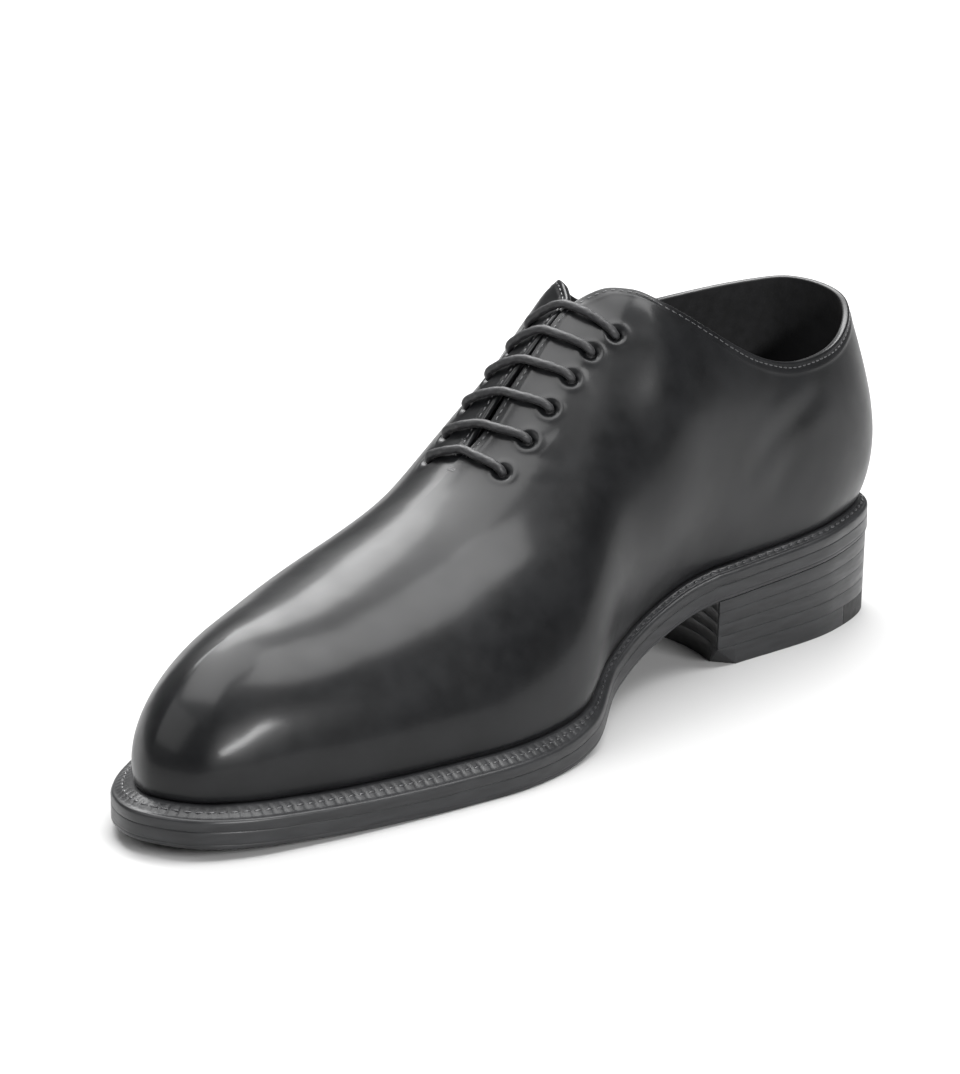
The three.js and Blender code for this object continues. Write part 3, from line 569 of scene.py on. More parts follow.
    def bar_place(
        self, side: Side, bar: Sequence[float], part: float
    ) -> tuple[np.ndarray, np.ndarray]:
        """Finds a place on a lace bar's way: at part 1 its hole, at part 0 the slit's edge."""
        across = bar[1] if side is Side.MEDIAL else bar[2]
        back = bar[3] * part if side is Side.MEDIAL else 0.0
        x = bar[0] * self.sole_length - back
        return self.place_along(side, x, max(across * part, self.gap))

    def holes(self) -> list[tuple[np.ndarray, np.ndarray]]:
        """Returns the middle and the outward direction of each lace hole."""
        return [self.bar_place(side, bar, 1.0) for bar in BARS for side in Side]


# Meshes

# A braid's repeat along the cord in radii, and its strands around.
BRAID_PITCH = 3.1
BRAID_STRANDS = 4

def linked(name: str, data: bpy.types.ID) -> bpy.types.Object:
    """Returns a new object of the scene that shows this data."""
    thing = bpy.data.objects.new(name, data)
    bpy.context.scene.collection.objects.link(thing)
    return thing


def new_piece(
    name: str,
    bm: bmesh.types.BMesh,
    materials: Sequence[bpy.types.Material],
) -> bpy.types.Object:
    """Turns a bmesh into a finished, smoothly shaded piece that rides on the shoe.

    Args:
        name: The piece's name.
        bm: The mesh, in metres in the frame; it is freed.
        materials: The piece's materials, in the order of its faces' numbers.

    Returns:
        The new object.
    """
    mesh = bpy.data.meshes.new(name)
    bm.to_mesh(mesh)
    bm.free()
    mesh.polygons.foreach_set("use_smooth", [True] * len(mesh.polygons))
    for material in materials:
        mesh.materials.append(material)
    piece = linked(name, mesh)
    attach(piece, "root")
    LOG.info("%s: %d faces", name, len(mesh.polygons))
    return piece


def add_grid(
    bm: bmesh.types.BMesh, points: np.ndarray
) -> tuple[list[bmesh.types.BMVert], np.ndarray]:
    """Adds a grid to a bmesh and lays it over points.

    Args:
        bm: The mesh that gets the grid.
        points: Points in metres, columns by rows.

    Returns:
        The grid's points in the mesh, and each one's column and row.
    """
    columns, rows = points.shape[:2]
    faces = (columns - 1, rows - 1)
    made = bmesh.ops.create_grid(bm, x_segments=faces[0], y_segments=faces[1], size=1.0)
    verts = made["verts"]
    flat = np.array([v.co for v in verts])
    place = np.rint((flat[:, :2] + 1) / 2 * faces).astype(int)
    for vert, (column, row) in zip(verts, place):
        vert.co = points[column, row]
    return verts, place


def grid_solid(points: np.ndarray) -> bmesh.types.BMesh:
    """Makes a closed solid from a grid whose edges meet, with its faces turned outwards."""
    bm = bmesh.new()
    add_grid(bm, points)
    bmesh.ops.remove_doubles(bm, verts=bm.verts, dist=WELD)
    bmesh.ops.dissolve_degenerate(bm, edges=bm.edges, dist=WELD / 2)
    open_edges = [edge for edge in bm.edges if edge.is_boundary]
    if open_edges:
        bmesh.ops.holes_fill(bm, edges=open_edges, sides=0)
    bmesh.ops.recalc_face_normals(bm, faces=bm.faces)
    return bm


def sections_solid(medial: np.ndarray, lateral: np.ndarray, across: int) -> bmesh.types.BMesh:
    """Makes a plate from the profiles of its two sides.

    Args:
        medial: Profiles of the medial side from the top down, sections by points.
        lateral: Profiles of the lateral side at the same sections.
        across: How many faces the flat sides have across.

    Returns:
        The closed plate.
    """
    t = np.linspace(0, 1, across + 1)[1:-1][None, :, None]
    bottom = medial[:, -1:] * (1 - t) + lateral[:, -1:] * t
    top = lateral[:, :1] * (1 - t) + medial[:, :1] * t
    loop = [medial, bottom, lateral[:, ::-1], top, medial[:, :1]]
    return grid_solid(np.concatenate(loop, axis=1))


def tube_into(
    bm: bmesh.types.BMesh, path: np.ndarray, radius: float, around: int, relief: float = 0.0
) -> None:
    """Adds a closed cord along a path, with a braid's relief.

    Args:
        bm: The mesh that gets the cord.
        path: The path's points in metres, evenly spaced.
        radius: The cord's radius in metres.
        around: Faces around the cord.
        relief: The relief's height as a share of the radius.
    """
    tangent = unit(np.gradient(path, axis=0))
    almost_up = np.array([0.001, 0.001, 1.001])
    sideways = unit(np.cross(tangent, almost_up))
    upwards = unit(np.cross(sideways, tangent))
    angle = np.linspace(0, 2 * np.pi, around + 1)
    length = run_length(path)
    turns = length[:, None] / (radius * BRAID_PITCH) * 2 * np.pi
    twist = BRAID_STRANDS * angle
    strands = [np.abs(np.sin((turns + turn) / 2)) for turn in (twist, -twist)]
    braid = np.maximum(*strands)
    r = radius * (1 - relief + relief * braid)
    round_end = np.minimum(length, length[-1] - length)[:, None] / radius
    r = r * np.sqrt(np.clip(1 - (1 - np.clip(round_end, 0, 1)) ** 2, 0.0, 1))
    rings = (
        path[:, None]
        + sideways[:, None] * (r * np.cos(angle))[..., None]
        + upwards[:, None] * (r * np.sin(angle))[..., None]
    )
    verts, _ = add_grid(bm, rings)
    bmesh.ops.remove_doubles(bm, verts=verts, dist=WELD)


@dataclass(frozen=True)
class StitchShape:
    """One stitch of a row, in millimetres."""

    pitch: float
    length: float
    width: float
    height: float
    sink: float = 0.1


def stitches_into(
    bm: bmesh.types.BMesh,
    path: np.ndarray,
    normals: np.ndarray,
    shape: StitchShape,
    tilt: float = 0.0,
) -> int:
    """Adds a row of stitches along a path.

    Args:
        bm: The mesh that gets them.
        path: Closely spaced points in metres.
        normals: The direction out of the leather at each point.
        shape: The size of one stitch.
        tilt: How far each stitch is turned from the row, in radians.

    Returns:
        How many stitches there are.
    """
    at = even_points(path, shape.pitch * MM)
    rows = [along_line(row, at) for row in (path, normals, np.gradient(path, axis=0))]
    cosine, sine = math.cos(tilt), math.sin(tilt)
    for centre, out, run in zip(*(map(Vector, row) for row in rows)):
        out.normalize()
        run = (run - out * run.dot(out)).normalized()
        beside = out.cross(run)
        axes = (run * cosine + beside * sine, beside * cosine - run * sine, out)
        turn = Matrix(axes).transposed().to_4x4()
        size = Matrix.Diagonal((shape.length * MM, shape.width * MM, shape.height * MM, 1.0))
        place = Matrix.Translation(centre - out * shape.sink * MM) @ turn @ size
        bmesh.ops.create_uvsphere(bm, u_segments=8, v_segments=6, radius=0.5, matrix=place)
    return len(at)


# Finishes


@dataclass(frozen=True)
class Noise:
    """A noise with its features per metre, or the edges of cells like the pores of leather."""

    scale: float
    detail: float = 3.0
    stretch: Triple = (1, 1, 1)
    cells: bool = False


class NodeSheet:
    """A material's nodes, with short calls that add and join them."""

    def __init__(self, name: str) -> None:
        """Starts a material with only its surface shader."""
        self.material = bpy.data.materials.new(name)
        self.material.use_nodes = True
        self.tree = self.material.node_tree
        self.shader = next(n for n in self.tree.nodes if n.type == "BSDF_PRINCIPLED")
        self.coords = self.tree.nodes.new("ShaderNodeTexCoord").outputs["Object"]

    def set(self, name: str, value: float | Sequence[float]) -> None:
        """Sets one of the shader's own sockets."""
        self.shader.inputs[name].default_value = value

    def noise(self, noise: Noise) -> bpy.types.NodeSocket:
        """Returns a noise of the object's coordinates."""
        mapping = self.tree.nodes.new("ShaderNodeMapping")
        mapping.inputs["Scale"].default_value = noise.stretch
        self.tree.links.new(self.coords, mapping.inputs["Vector"])
        kind = "ShaderNodeTexVoronoi" if noise.cells else "ShaderNodeTexNoise"
        node = self.tree.nodes.new(kind)
        if noise.cells:
            node.feature = "DISTANCE_TO_EDGE"
        else:
            node.inputs["Detail"].default_value = noise.detail
        node.inputs["Scale"].default_value = noise.scale
        self.tree.links.new(mapping.outputs["Vector"], node.inputs["Vector"])
        return node.outputs["Distance" if noise.cells else "Fac"]

    def spread(self, value: bpy.types.NodeSocket, low: float, high: float) -> bpy.types.NodeSocket:
        """Returns a noise's middle range stretched to run from low to high."""
        node = self.tree.nodes.new("ShaderNodeMapRange")
        node.inputs["From Min"].default_value = 0.3
        node.inputs["From Max"].default_value = 0.7
        node.inputs["To Min"].default_value = low
        node.inputs["To Max"].default_value = high
        self.tree.links.new(value, node.inputs["Value"])
        return node.outputs["Result"]

    def colour(self, value: bpy.types.NodeSocket, dark: Triple, light: Triple) -> None:
        """Colours the surface between two colours by a value."""
        ramp = self.tree.nodes.new("ShaderNodeValToRGB")
        ends = zip(ramp.color_ramp.elements, (0.35, 0.65), (dark, light))
        for end, position, colour in ends:
            end.position = position
            end.color = (*colour, 1)
        self.tree.links.new(value, ramp.inputs["Fac"])
        self.tree.links.new(ramp.outputs["Color"], self.shader.inputs["Base Color"])

    def roughness(self, value: bpy.types.NodeSocket) -> None:
        """Drives the roughness by a value."""
        self.tree.links.new(value, self.shader.inputs["Roughness"])

    def bump(self, *layers: tuple[bpy.types.NodeSocket, float, float]) -> None:
        """Adds relief from layers of value, strength and height in metres."""
        normal = None
        for value, strength, height in layers:
            node = self.tree.nodes.new("ShaderNodeBump")
            node.inputs["Strength"].default_value = strength
            node.inputs["Distance"].default_value = height
            self.tree.links.new(value, node.inputs["Height"])
            if normal is not None:
                self.tree.links.new(normal, node.inputs["Normal"])
            normal = node.outputs["Normal"]
        self.tree.links.new(normal, self.shader.inputs["Normal"])
        self.tree.links.new(normal, self.shader.inputs["Coat Normal"])


@dataclass(frozen=True)
class Finish:
    """A finish whose colour, roughness and relief come from noises of the coordinates."""

    name: str
    dark: Triple
    light: Triple = (0.0, 0.0, 0.0)
    grain: Noise | None = None
    rough: tuple[float, float] = (0.5, 0.5)
    wear: Noise | None = None
    shader: tuple[tuple[str, float], ...] = ()
    relief: tuple[tuple[Noise, float, float], ...] = ()

    def material(self) -> bpy.types.Material:
        """Returns the finish's material."""
        sheet = NodeSheet(self.name)
        for name, value in self.shader:
            sheet.set(name, value)
        if self.grain is None:
            sheet.set("Base Color", (*self.dark, 1))
        else:
            sheet.colour(sheet.noise(self.grain), self.dark, self.light)
        if self.wear is not None:
            sheet.roughness(sheet.spread(sheet.noise(self.wear), *self.rough))
        if self.relief:
            sheet.bump(*((sheet.noise(noise), *rest) for noise, *rest in self.relief))
        return sheet.material


# Smooth black box calf, waxed to a soft shine.
CALF = Finish(
    name="black_calf",
    dark=(0.0032, 0.0034, 0.0039),
    light=(0.0062, 0.0065, 0.0073),
    grain=Noise(70, 4),
    rough=(0.34, 0.42),
    wear=Noise(140, 5),
    shader=(("Specular IOR Level", 0.20), ("Coat Weight", 0.20), ("Coat Roughness", 0.15)),
    relief=(
        (Noise(45, 2), 0.16, 0.0012),
        (Noise(2600, cells=True), 0.10, 0.00006),
        (Noise(5200, 2), 0.10, 0.00005),
    ),
)
# Matt black lining leather.
LINING = Finish(
    name="black_lining",
    dark=(0.004, 0.004, 0.0045),
    light=(0.008, 0.008, 0.009),
    grain=Noise(300, 4),
    rough=(0.62, 0.74),
    wear=Noise(500),
    shader=(("IOR", 1.45), ("Sheen Weight", 0.05), ("Sheen Roughness", 0.5)),
    relief=((Noise(2600), 0.25, 0.00008),),
)
# Black edge dressing on stacked sole leather, burnished with fine lines along it.
SOLE_EDGE = Finish(
    name="dressed_sole_leather",
    dark=(0.010, 0.0103, 0.0112),
    light=(0.018, 0.0185, 0.020),
    grain=Noise(90, 5, (1, 1, 6)),
    rough=(0.36, 0.48),
    wear=Noise(160, 4, (1, 1, 5)),
    shader=(("Specular IOR Level", 0.35), ("Coat Weight", 0.15), ("Coat Roughness", 0.22)),
    relief=(
        (Noise(260, 4, (0.25, 0.25, 9)), 0.16, 0.00012),
        (Noise(1700), 0.12, 0.00006),
    ),
)
# Waxed black thread of the stitches.
THREAD = Finish(
    name="waxed_thread",
    dark=(0.020, 0.020, 0.022),
    light=(0.034, 0.034, 0.0374),
    grain=Noise(900),
    shader=(
        ("Roughness", 0.30),
        ("Coat Weight", 0.5),
        ("Coat Roughness", 0.3),
        ("Sheen Weight", 0.04),
    ),
    relief=((Noise(5200), 0.35, 0.00006),),
)
# The lace's cord, waxed duller than the thread.
CORD = Finish(
    name="waxed_lace",
    dark=(0.0075, 0.0075, 0.0085),
    light=(0.01275, 0.01275, 0.01445),
    grain=Noise(900),
    shader=(
        ("Roughness", 0.55),
        ("Coat Weight", 0.12),
        ("Coat Roughness", 0.3),
        ("Sheen Weight", 0.04),
    ),
    relief=((Noise(5200), 0.35, 0.00006),),
)
# The matt rubber of the heel's back quarter.
RUBBER = Finish(
    name="heel_rubber",
    dark=(0.010, 0.010, 0.0105),
    light=(0.016, 0.016, 0.0165),
    grain=Noise(200),
    rough=(0.52, 0.64),
    wear=Noise(500),
    shader=(("IOR", 1.45),),
    relief=((Noise(2200), 0.2, 0.00008),),
)
# The brass of the heel's pins, dulled by wear.
BRASS = Finish(
    name="pin_brass",
    dark=(0.46, 0.36, 0.22),
    light=(0.66, 0.55, 0.36),
    grain=Noise(1500),
    rough=(0.28, 0.42),
    wear=Noise(3000, 2),
    shader=(("Metallic", 1.0),),
    relief=((Noise(6000, 2), 0.15, 0.00004),),
)
# A plain pale floor.
FLOOR = Finish(
    name="pale_floor",
    dark=(0.51, 0.51, 0.51),
    shader=(("Roughness", 0.8), ("Specular IOR Level", 0.1)),
)


# Upper


@dataclass(frozen=True)
class Fold:
    """A soft crease in the leather of one side, in millimetres along and above the shoe."""

    side: Side
    line: tuple[tuple[float, float], ...]
    width: float
    depth: float
    shoulder: float = 0.4
    shoulder_place: float = 1.9

    def relief(self, points: np.ndarray) -> np.ndarray:
        """Returns how far the crease moves each point, out of the leather."""
        flat = points[..., [0, 2]]
        best = np.full(flat.shape[:-1], 1e9)
        place = np.zeros(flat.shape[:-1])
        count = len(self.line) - 1
        for k in range(count):
            a, b = np.array(self.line[k], float), np.array(self.line[k + 1], float)
            t = np.clip(((flat - a) @ (b - a)) / ((b - a) @ (b - a)), 0, 1)
            distance = np.linalg.norm(flat - (a + t[..., None] * (b - a)), axis=-1)
            nearer = distance < best
            best = np.where(nearer, distance, best)
            place = np.where(nearer, (k + t) / count, place)
        fade = np.sin(np.pi * np.clip(place, 0.001, 0.999)) ** 0.7
        r = best / self.width
        shape = -np.exp(-(r**2)) + self.shoulder * np.exp(-((r - self.shoulder_place) ** 2))
        here = points[..., 1] * self.side.value > 0
        return np.where(here, self.depth * fade * shape, 0.0)


@dataclass
class Upper:
    """The one-piece upper: outer calf, rounded edges, lace holes and the lining inside."""

    last: Last
    calf: bpy.types.Material
    lining: bpy.types.Material
    edge_round: float = 0.7
    hole_radius: float = 1.55
    hole_depth: float = 1.6
    hole_half_height: float = 1.5
    rim_height: float = 0.20
    rim_place: float = 3.4
    rim_width: float = 1.1
    rim_sink: float = 0.80
    sink_width: float = 0.85
    # Where the leather is folded over its edge: down from the edge, width and height.
    edge_waves: tuple[Triple, ...] = ((3.4, 0.5, 0.10), (1.8, 0.45, -0.06))
    # Rows down from the edge: fine ones, then a band of even ones, then the rest.
    fine_step: float = 0.2
    band_start: float = 1.2
    band_step: float = 0.52
    band_end: float = 22.0
    rest_rows: int = 36
    wall_depths: tuple[float, float] = (1.1, 1.5)
    calm: float = 0.022
    folds: tuple[Fold, ...] = (
        Fold(Side.MEDIAL, ((80, 58), (66, 66), (52, 71), (38, 76)), 3.6, 0.24),
        Fold(Side.MEDIAL, ((66, 46), (59, 57), (51, 66)), 4.2, 0.14),
        Fold(Side.LATERAL, ((86, 54), (74, 63), (60, 68), (44, 72)), 4.5, 0.24),
        Fold(Side.MEDIAL, ((146, 86), (149, 84), (152, 83)), 0.9, 0.10),
        Fold(Side.MEDIAL, ((150, 80), (153, 78.5), (156, 78)), 0.9, 0.10),
        Fold(Side.MEDIAL, ((155, 74), (158, 73), (161, 72.6)), 0.9, 0.09),
    )

    def columns(self) -> np.ndarray:
        """Returns the places of the ribs around the shoe, closest together at the facings."""
        bottom = self.last.slit_bottom
        share = np.concatenate([
            np.linspace(0, 0.40, 86, endpoint=False),
            np.linspace(0.40, bottom, 120, endpoint=False),
            np.linspace(bottom, 0.61, 20, endpoint=False),
            np.linspace(0.61, 1.0, 84),
        ])
        return np.concatenate([share, (2 - share[::-1])[1:]])

    def calmed(self, points: np.ndarray, w: np.ndarray, distance: np.ndarray) -> np.ndarray:
        """Takes short waves along the shoe out of the form, away from its edges.

        Args:
            points: The form, ribs by rows.
            w: The ribs' places around the shoe.
            distance: Each point's distance from its rib's top.

        Returns:
            The calmer form.
        """
        apart = (w[:, None] - w[None, :] + 1) % 2 - 1
        share = np.exp(-((apart / self.calm) ** 2) / 2) * np.gradient(w)[None, :]
        share /= share.sum(1, keepdims=True)
        share = 2 * share - share @ share
        flat = points.reshape(len(w), -1)
        smooth = (share @ flat).reshape(points.shape)
        whole = distance[:, -1:]
        around = share_of(w)
        back = (1 - smoothstep(around, 0.34, 0.40))[:, None]
        part = np.maximum(smoothstep(distance, 4, 16), back) * smoothstep(whole - distance, 3, 14)
        part = part * (1 - smoothstep(around, 0.86, 0.94))[:, None]
        return points + (smooth - points) * part[..., None]

    def relief(self, points: np.ndarray, w: np.ndarray, distance: np.ndarray) -> np.ndarray:
        """Works out how far each point of the outer face moves out of the smooth form.

        Args:
            points: The smooth form, ribs by rows.
            w: The ribs' places around the shoe.
            distance: Each point's distance from its rib's top.

        Returns:
            The move of each point along its normal.
        """
        end = self.last.slit_bottom
        edge = (1 - smoothstep(share_of(w), end - 0.012, end - 0.001))[:, None]
        r = self.edge_round
        inside = np.clip(r - distance, 0, r)
        move = -(r - np.sqrt(r * r - inside * inside)) * edge
        for down, width, height in self.edge_waves:
            move += height * np.exp(-(((distance - down) / width) ** 2)) * edge
        for centre, _ in self.last.holes():
            d = np.linalg.norm(points - centre, axis=-1)
            beyond = np.maximum(d - self.hole_radius, 0)
            move += self.rim_height * np.exp(-(((d - self.rim_place) / self.rim_width) ** 2))
            move -= self.rim_sink * np.exp(-((beyond / self.sink_width) ** 2))
        for fold in self.folds:
            move += fold.relief(points)
        return move

    def rows(self, w: np.ndarray) -> np.ndarray:
        """Returns how far down its rib each row of the grid lies, ribs by rows."""
        near = np.concatenate([
            np.arange(0, self.band_start, self.fine_step),
            np.arange(self.band_start, self.band_end, self.band_step),
        ])
        whole = self.last.rib_lines(w)[1][:, -1:]
        rest = near[-1] + (whole - near[-1]) * np.linspace(0, 1, self.rest_rows + 1)[1:]
        return np.concatenate([np.broadcast_to(near, (len(w), len(near))), rest], 1)

    @staticmethod
    def joined_normals(outer: np.ndarray, joined: np.ndarray) -> np.ndarray:
        """Returns the form's normals, with both sides' made one along the ridge."""
        normal = grid_normals(outer)
        both = unit(normal[:, 0] + normal[::-1, 0])
        normal[joined, 0] = both[joined]
        for row, own in ((1, 0.7), (2, 0.9)):
            normal[joined, row] = unit(normal[joined, row] * own + both[joined] * (1 - own))
        return normal

    def build(self) -> bpy.types.Object:
        """Builds the upper and returns it."""
        last = self.last
        w = self.columns()
        distance = self.rows(w)
        outer = self.calmed(last.on_ribs(w, distance), w, distance)
        joined = (w >= last.slit_bottom) & (w <= 2 - last.slit_bottom)
        normal = self.joined_normals(outer, joined)
        dressed = outer + normal * self.relief(outer, w, distance)[..., None]
        wall = [outer[:, 0] - normal[:, 0] * depth for depth in self.wall_depths]
        end = outer.shape[1] - 1
        keep = np.unique(np.concatenate([[0, 2, 5], np.arange(8, end, 4), [end]]))
        inner = outer[:, keep] - normal[:, keep] * last.upper_wall
        inner[:, -1, 2] = outer[:, -1, 2]
        grid = np.concatenate(
            [dressed[:, ::-1], np.stack(wall, 1), inner, dressed[:, -1:]], axis=1
        )
        bm = bmesh.new()
        _, place = add_grid(bm, last.to_frame(grid))
        inner_start = end + 1 + len(wall)
        places = dict(zip(bm.verts, place.tolist()))
        gone = []
        for face in bm.faces:
            columns, rows = zip(*(places[v] for v in face.verts))
            lining = min(rows) >= inner_start - 1 and max(rows) < grid.shape[1] - 1
            face.material_index = int(lining)
            if min(rows) >= end and max(rows) <= inner_start and all(joined[c] for c in columns):
                gone.append(face)
        bmesh.ops.delete(bm, geom=gone, context="FACES")
        bmesh.ops.remove_doubles(bm, verts=bm.verts, dist=WELD)
        bmesh.ops.dissolve_degenerate(bm, edges=bm.edges, dist=WELD / 2)
        bmesh.ops.recalc_face_normals(bm, faces=bm.faces)
        for centre, out in last.holes():
            self.punch(bm, Vector(last.to_frame(centre)), Vector(out))
        upper = new_piece("upper_calf", bm, [self.calf, self.lining])
        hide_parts("upper")
        return upper

    def punch(self, bm: bmesh.types.BMesh, centre: Vector, out: Vector) -> None:
        """Punches one lace hole: a round hole whose wall runs into the leather.

        Args:
            bm: The upper's mesh.
            centre: The hole's middle on the smooth form.
            out: The direction out of the leather.
        """
        radius = self.hole_radius * MM
        reach = 2.2 * radius

        def offset(point: Vector) -> tuple[float, float]:
            """Returns a point's distance from the hole's axis and its height."""
            height = (point - centre).dot(out)
            return (point - centre - out * height).length, height

        def near(part: bmesh.types.BMFace | bmesh.types.BMEdge) -> bool:
            """Returns whether a part of the mesh lies close to the hole."""
            return (part.verts[0].co - centre).length < reach

        def inside(face: bmesh.types.BMFace) -> bool:
            """Returns whether a face's middle lies in the hole."""
            distance, height = offset(face.calc_center_median())
            return distance < radius and abs(height) < self.hole_half_height * MM

        gone = [f for f in bm.faces if near(f) and f.material_index == 0 and inside(f)]
        bmesh.ops.delete(bm, geom=gone, context="FACES")
        rim = [e for e in bm.edges if e.is_boundary and near(e)]
        for vert in {v for e in rim for v in e.verts}:
            distance, height = offset(vert.co)
            flat = vert.co - centre - out * height
            vert.co = centre + out * height + flat * (radius / max(distance, 1e-6))
        grown = bmesh.ops.extrude_edge_only(bm, edges=rim)["geom"]
        deep = [g for g in grown if isinstance(g, bmesh.types.BMVert)]
        bmesh.ops.translate(bm, verts=deep, vec=-out * self.hole_depth * MM)
        floor = [g for g in grown if isinstance(g, bmesh.types.BMEdge) and g.is_boundary]
        bmesh.ops.holes_fill(bm, edges=floor, sides=0)


@dataclass
class EdgeStitching:
    """The row of stitches along the top edge and the facings, and the tack below the slit."""

    last: Last
    upper: bpy.types.Object
    thread: bpy.types.Material
    from_edge: float = 1.8
    shape: StitchShape = StitchShape(pitch=2.4, length=1.75, width=0.42, height=0.42, sink=0.02)
    tack: StitchShape = StitchShape(pitch=1.2, length=1.0, width=0.34, height=0.30, sink=0.06)
    tack_half_length: float = 0.6
    tack_half_width: float = 1.1
    tack_rows: int = 7

    def settled(self, points: np.ndarray) -> tuple[np.ndarray, np.ndarray]:
        """Lays points onto the upper and returns them in metres, with their normals."""
        places = map(Vector, self.last.to_frame(points))
        found = [self.upper.closest_point_on_mesh(place)[1:3] for place in places]
        return tuple(np.array(rows) for rows in zip(*found))

    def build(self) -> bpy.types.Object:
        """Builds the stitches and returns them."""
        last = self.last
        end = last.slit_bottom - 0.004
        w = np.concatenate([np.linspace(end, 0, 500), np.linspace(2, 2 - end, 500)[1:]])
        bm = bmesh.new()
        count = stitches_into(bm, *self.settled(last.place(w, self.from_edge)[0]), self.shape)
        low, _ = last.place(last.slit_bottom + 0.010, 0.3)
        half = self.tack_half_length
        along = np.array([[x, 0.0, 0.0] for x in np.linspace(-half, half, 8)])
        for y in np.linspace(-self.tack_half_width, self.tack_half_width, self.tack_rows):
            count += stitches_into(bm, *self.settled(low[0] + [0, y, 0] + along), self.tack)
        LOG.info("edge stitches: %d", count)
        return new_piece("edge_stitches", bm, [self.thread])


# Tongue, insole, welt and outsole


@dataclass
class Tongue:
    """The thin tongue under the slit."""

    last: Last
    calf: bpy.types.Material
    top: float = 0.372
    foot: float = 0.615
    half_width: float = 25.0
    wall: float = 1.6
    lace: float = 2.6
    taper: float = 0.25
    corner: float = 0.3
    corner_end: float = 0.12
    ridge: float = 0.02

    def build(self) -> bpy.types.Object:
        """Builds the tongue and returns it."""
        last = self.last
        start, end = last.rib_share(self.top), last.rib_share(self.foot)
        below = last.upper_wall + self.lace + 5 * last.gap
        depth = SmoothCurve([0, 0.78, 1], [below, below, last.upper_wall + 2 * last.gap])
        half = 16
        columns = np.arange(-half, half + 1)
        rows = []
        for k in np.linspace(0, 1, 60):
            share = start + (end - start) * k
            width = self.half_width * (1 - self.taper * k)
            corner = self.half_width * self.corner * (1 - smoothstep(k, 0, self.corner_end))
            distance = np.maximum(np.abs(columns) / half * (width - corner), self.ridge)
            w = np.where(columns < 0, 2 - share, share)
            points, normals = last.place(w, distance)
            other, lean = last.place(2 - share, self.ridge)
            points[half] = (points[half] + other[0]) / 2
            normals[half] = unit(normals[half] + lean[0])
            rows.append((points, normals, float(depth(k))))
        top = np.array([p - n * d for p, n, d in rows])
        low = np.array([p - n * (d + self.wall) for p, n, d in rows])
        grid = np.concatenate([top, low[:, ::-1], top[:, :1]], axis=1)
        piece = new_piece("tongue_calf", grid_solid(last.to_frame(grid)), [self.calf])
        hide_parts("tongue")
        return piece


@dataclass
class Insole:
    """The insole that closes the upper from below, its upper face covered by the lining."""

    last: Last
    lining: bpy.types.Material
    thickness: float = 2.6
    welt_width: float = 13.0
    # Its upper rim, as steps inside the edge and above the upper face.
    rim: tuple[tuple[float, float], ...] = ((1.2, 0.0), (0.4, -0.25), (0.0, -0.9))

    def build(self) -> bpy.types.Object:
        """Builds the insole and returns it."""
        last = self.last
        share = np.linspace(0, 1, 170)

        def profile(w: np.ndarray) -> np.ndarray:
            """Returns the profiles of one side from the top down."""
            edge = last.margin(w) + last.upper_wall + last.gap
            face, inside = last.gap + self.thickness, self.welt_width + last.gap
            rows = [
                last.ring(w, edge + inset, last.welt_inner_top, face + lift)
                for inset, lift in (*self.rim, (0.0, -self.thickness))
            ]
            rows.append(last.ring(w, inside, last.welt_inner_top, last.gap))
            rows.append(last.ring(w, inside, last.welt_bottom))
            return last.to_frame(np.stack(rows, 1))

        bm = sections_solid(profile(share), profile(2 - share), 20)
        piece = new_piece("insole_lined", bm, [self.lining])
        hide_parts("insole")
        return piece


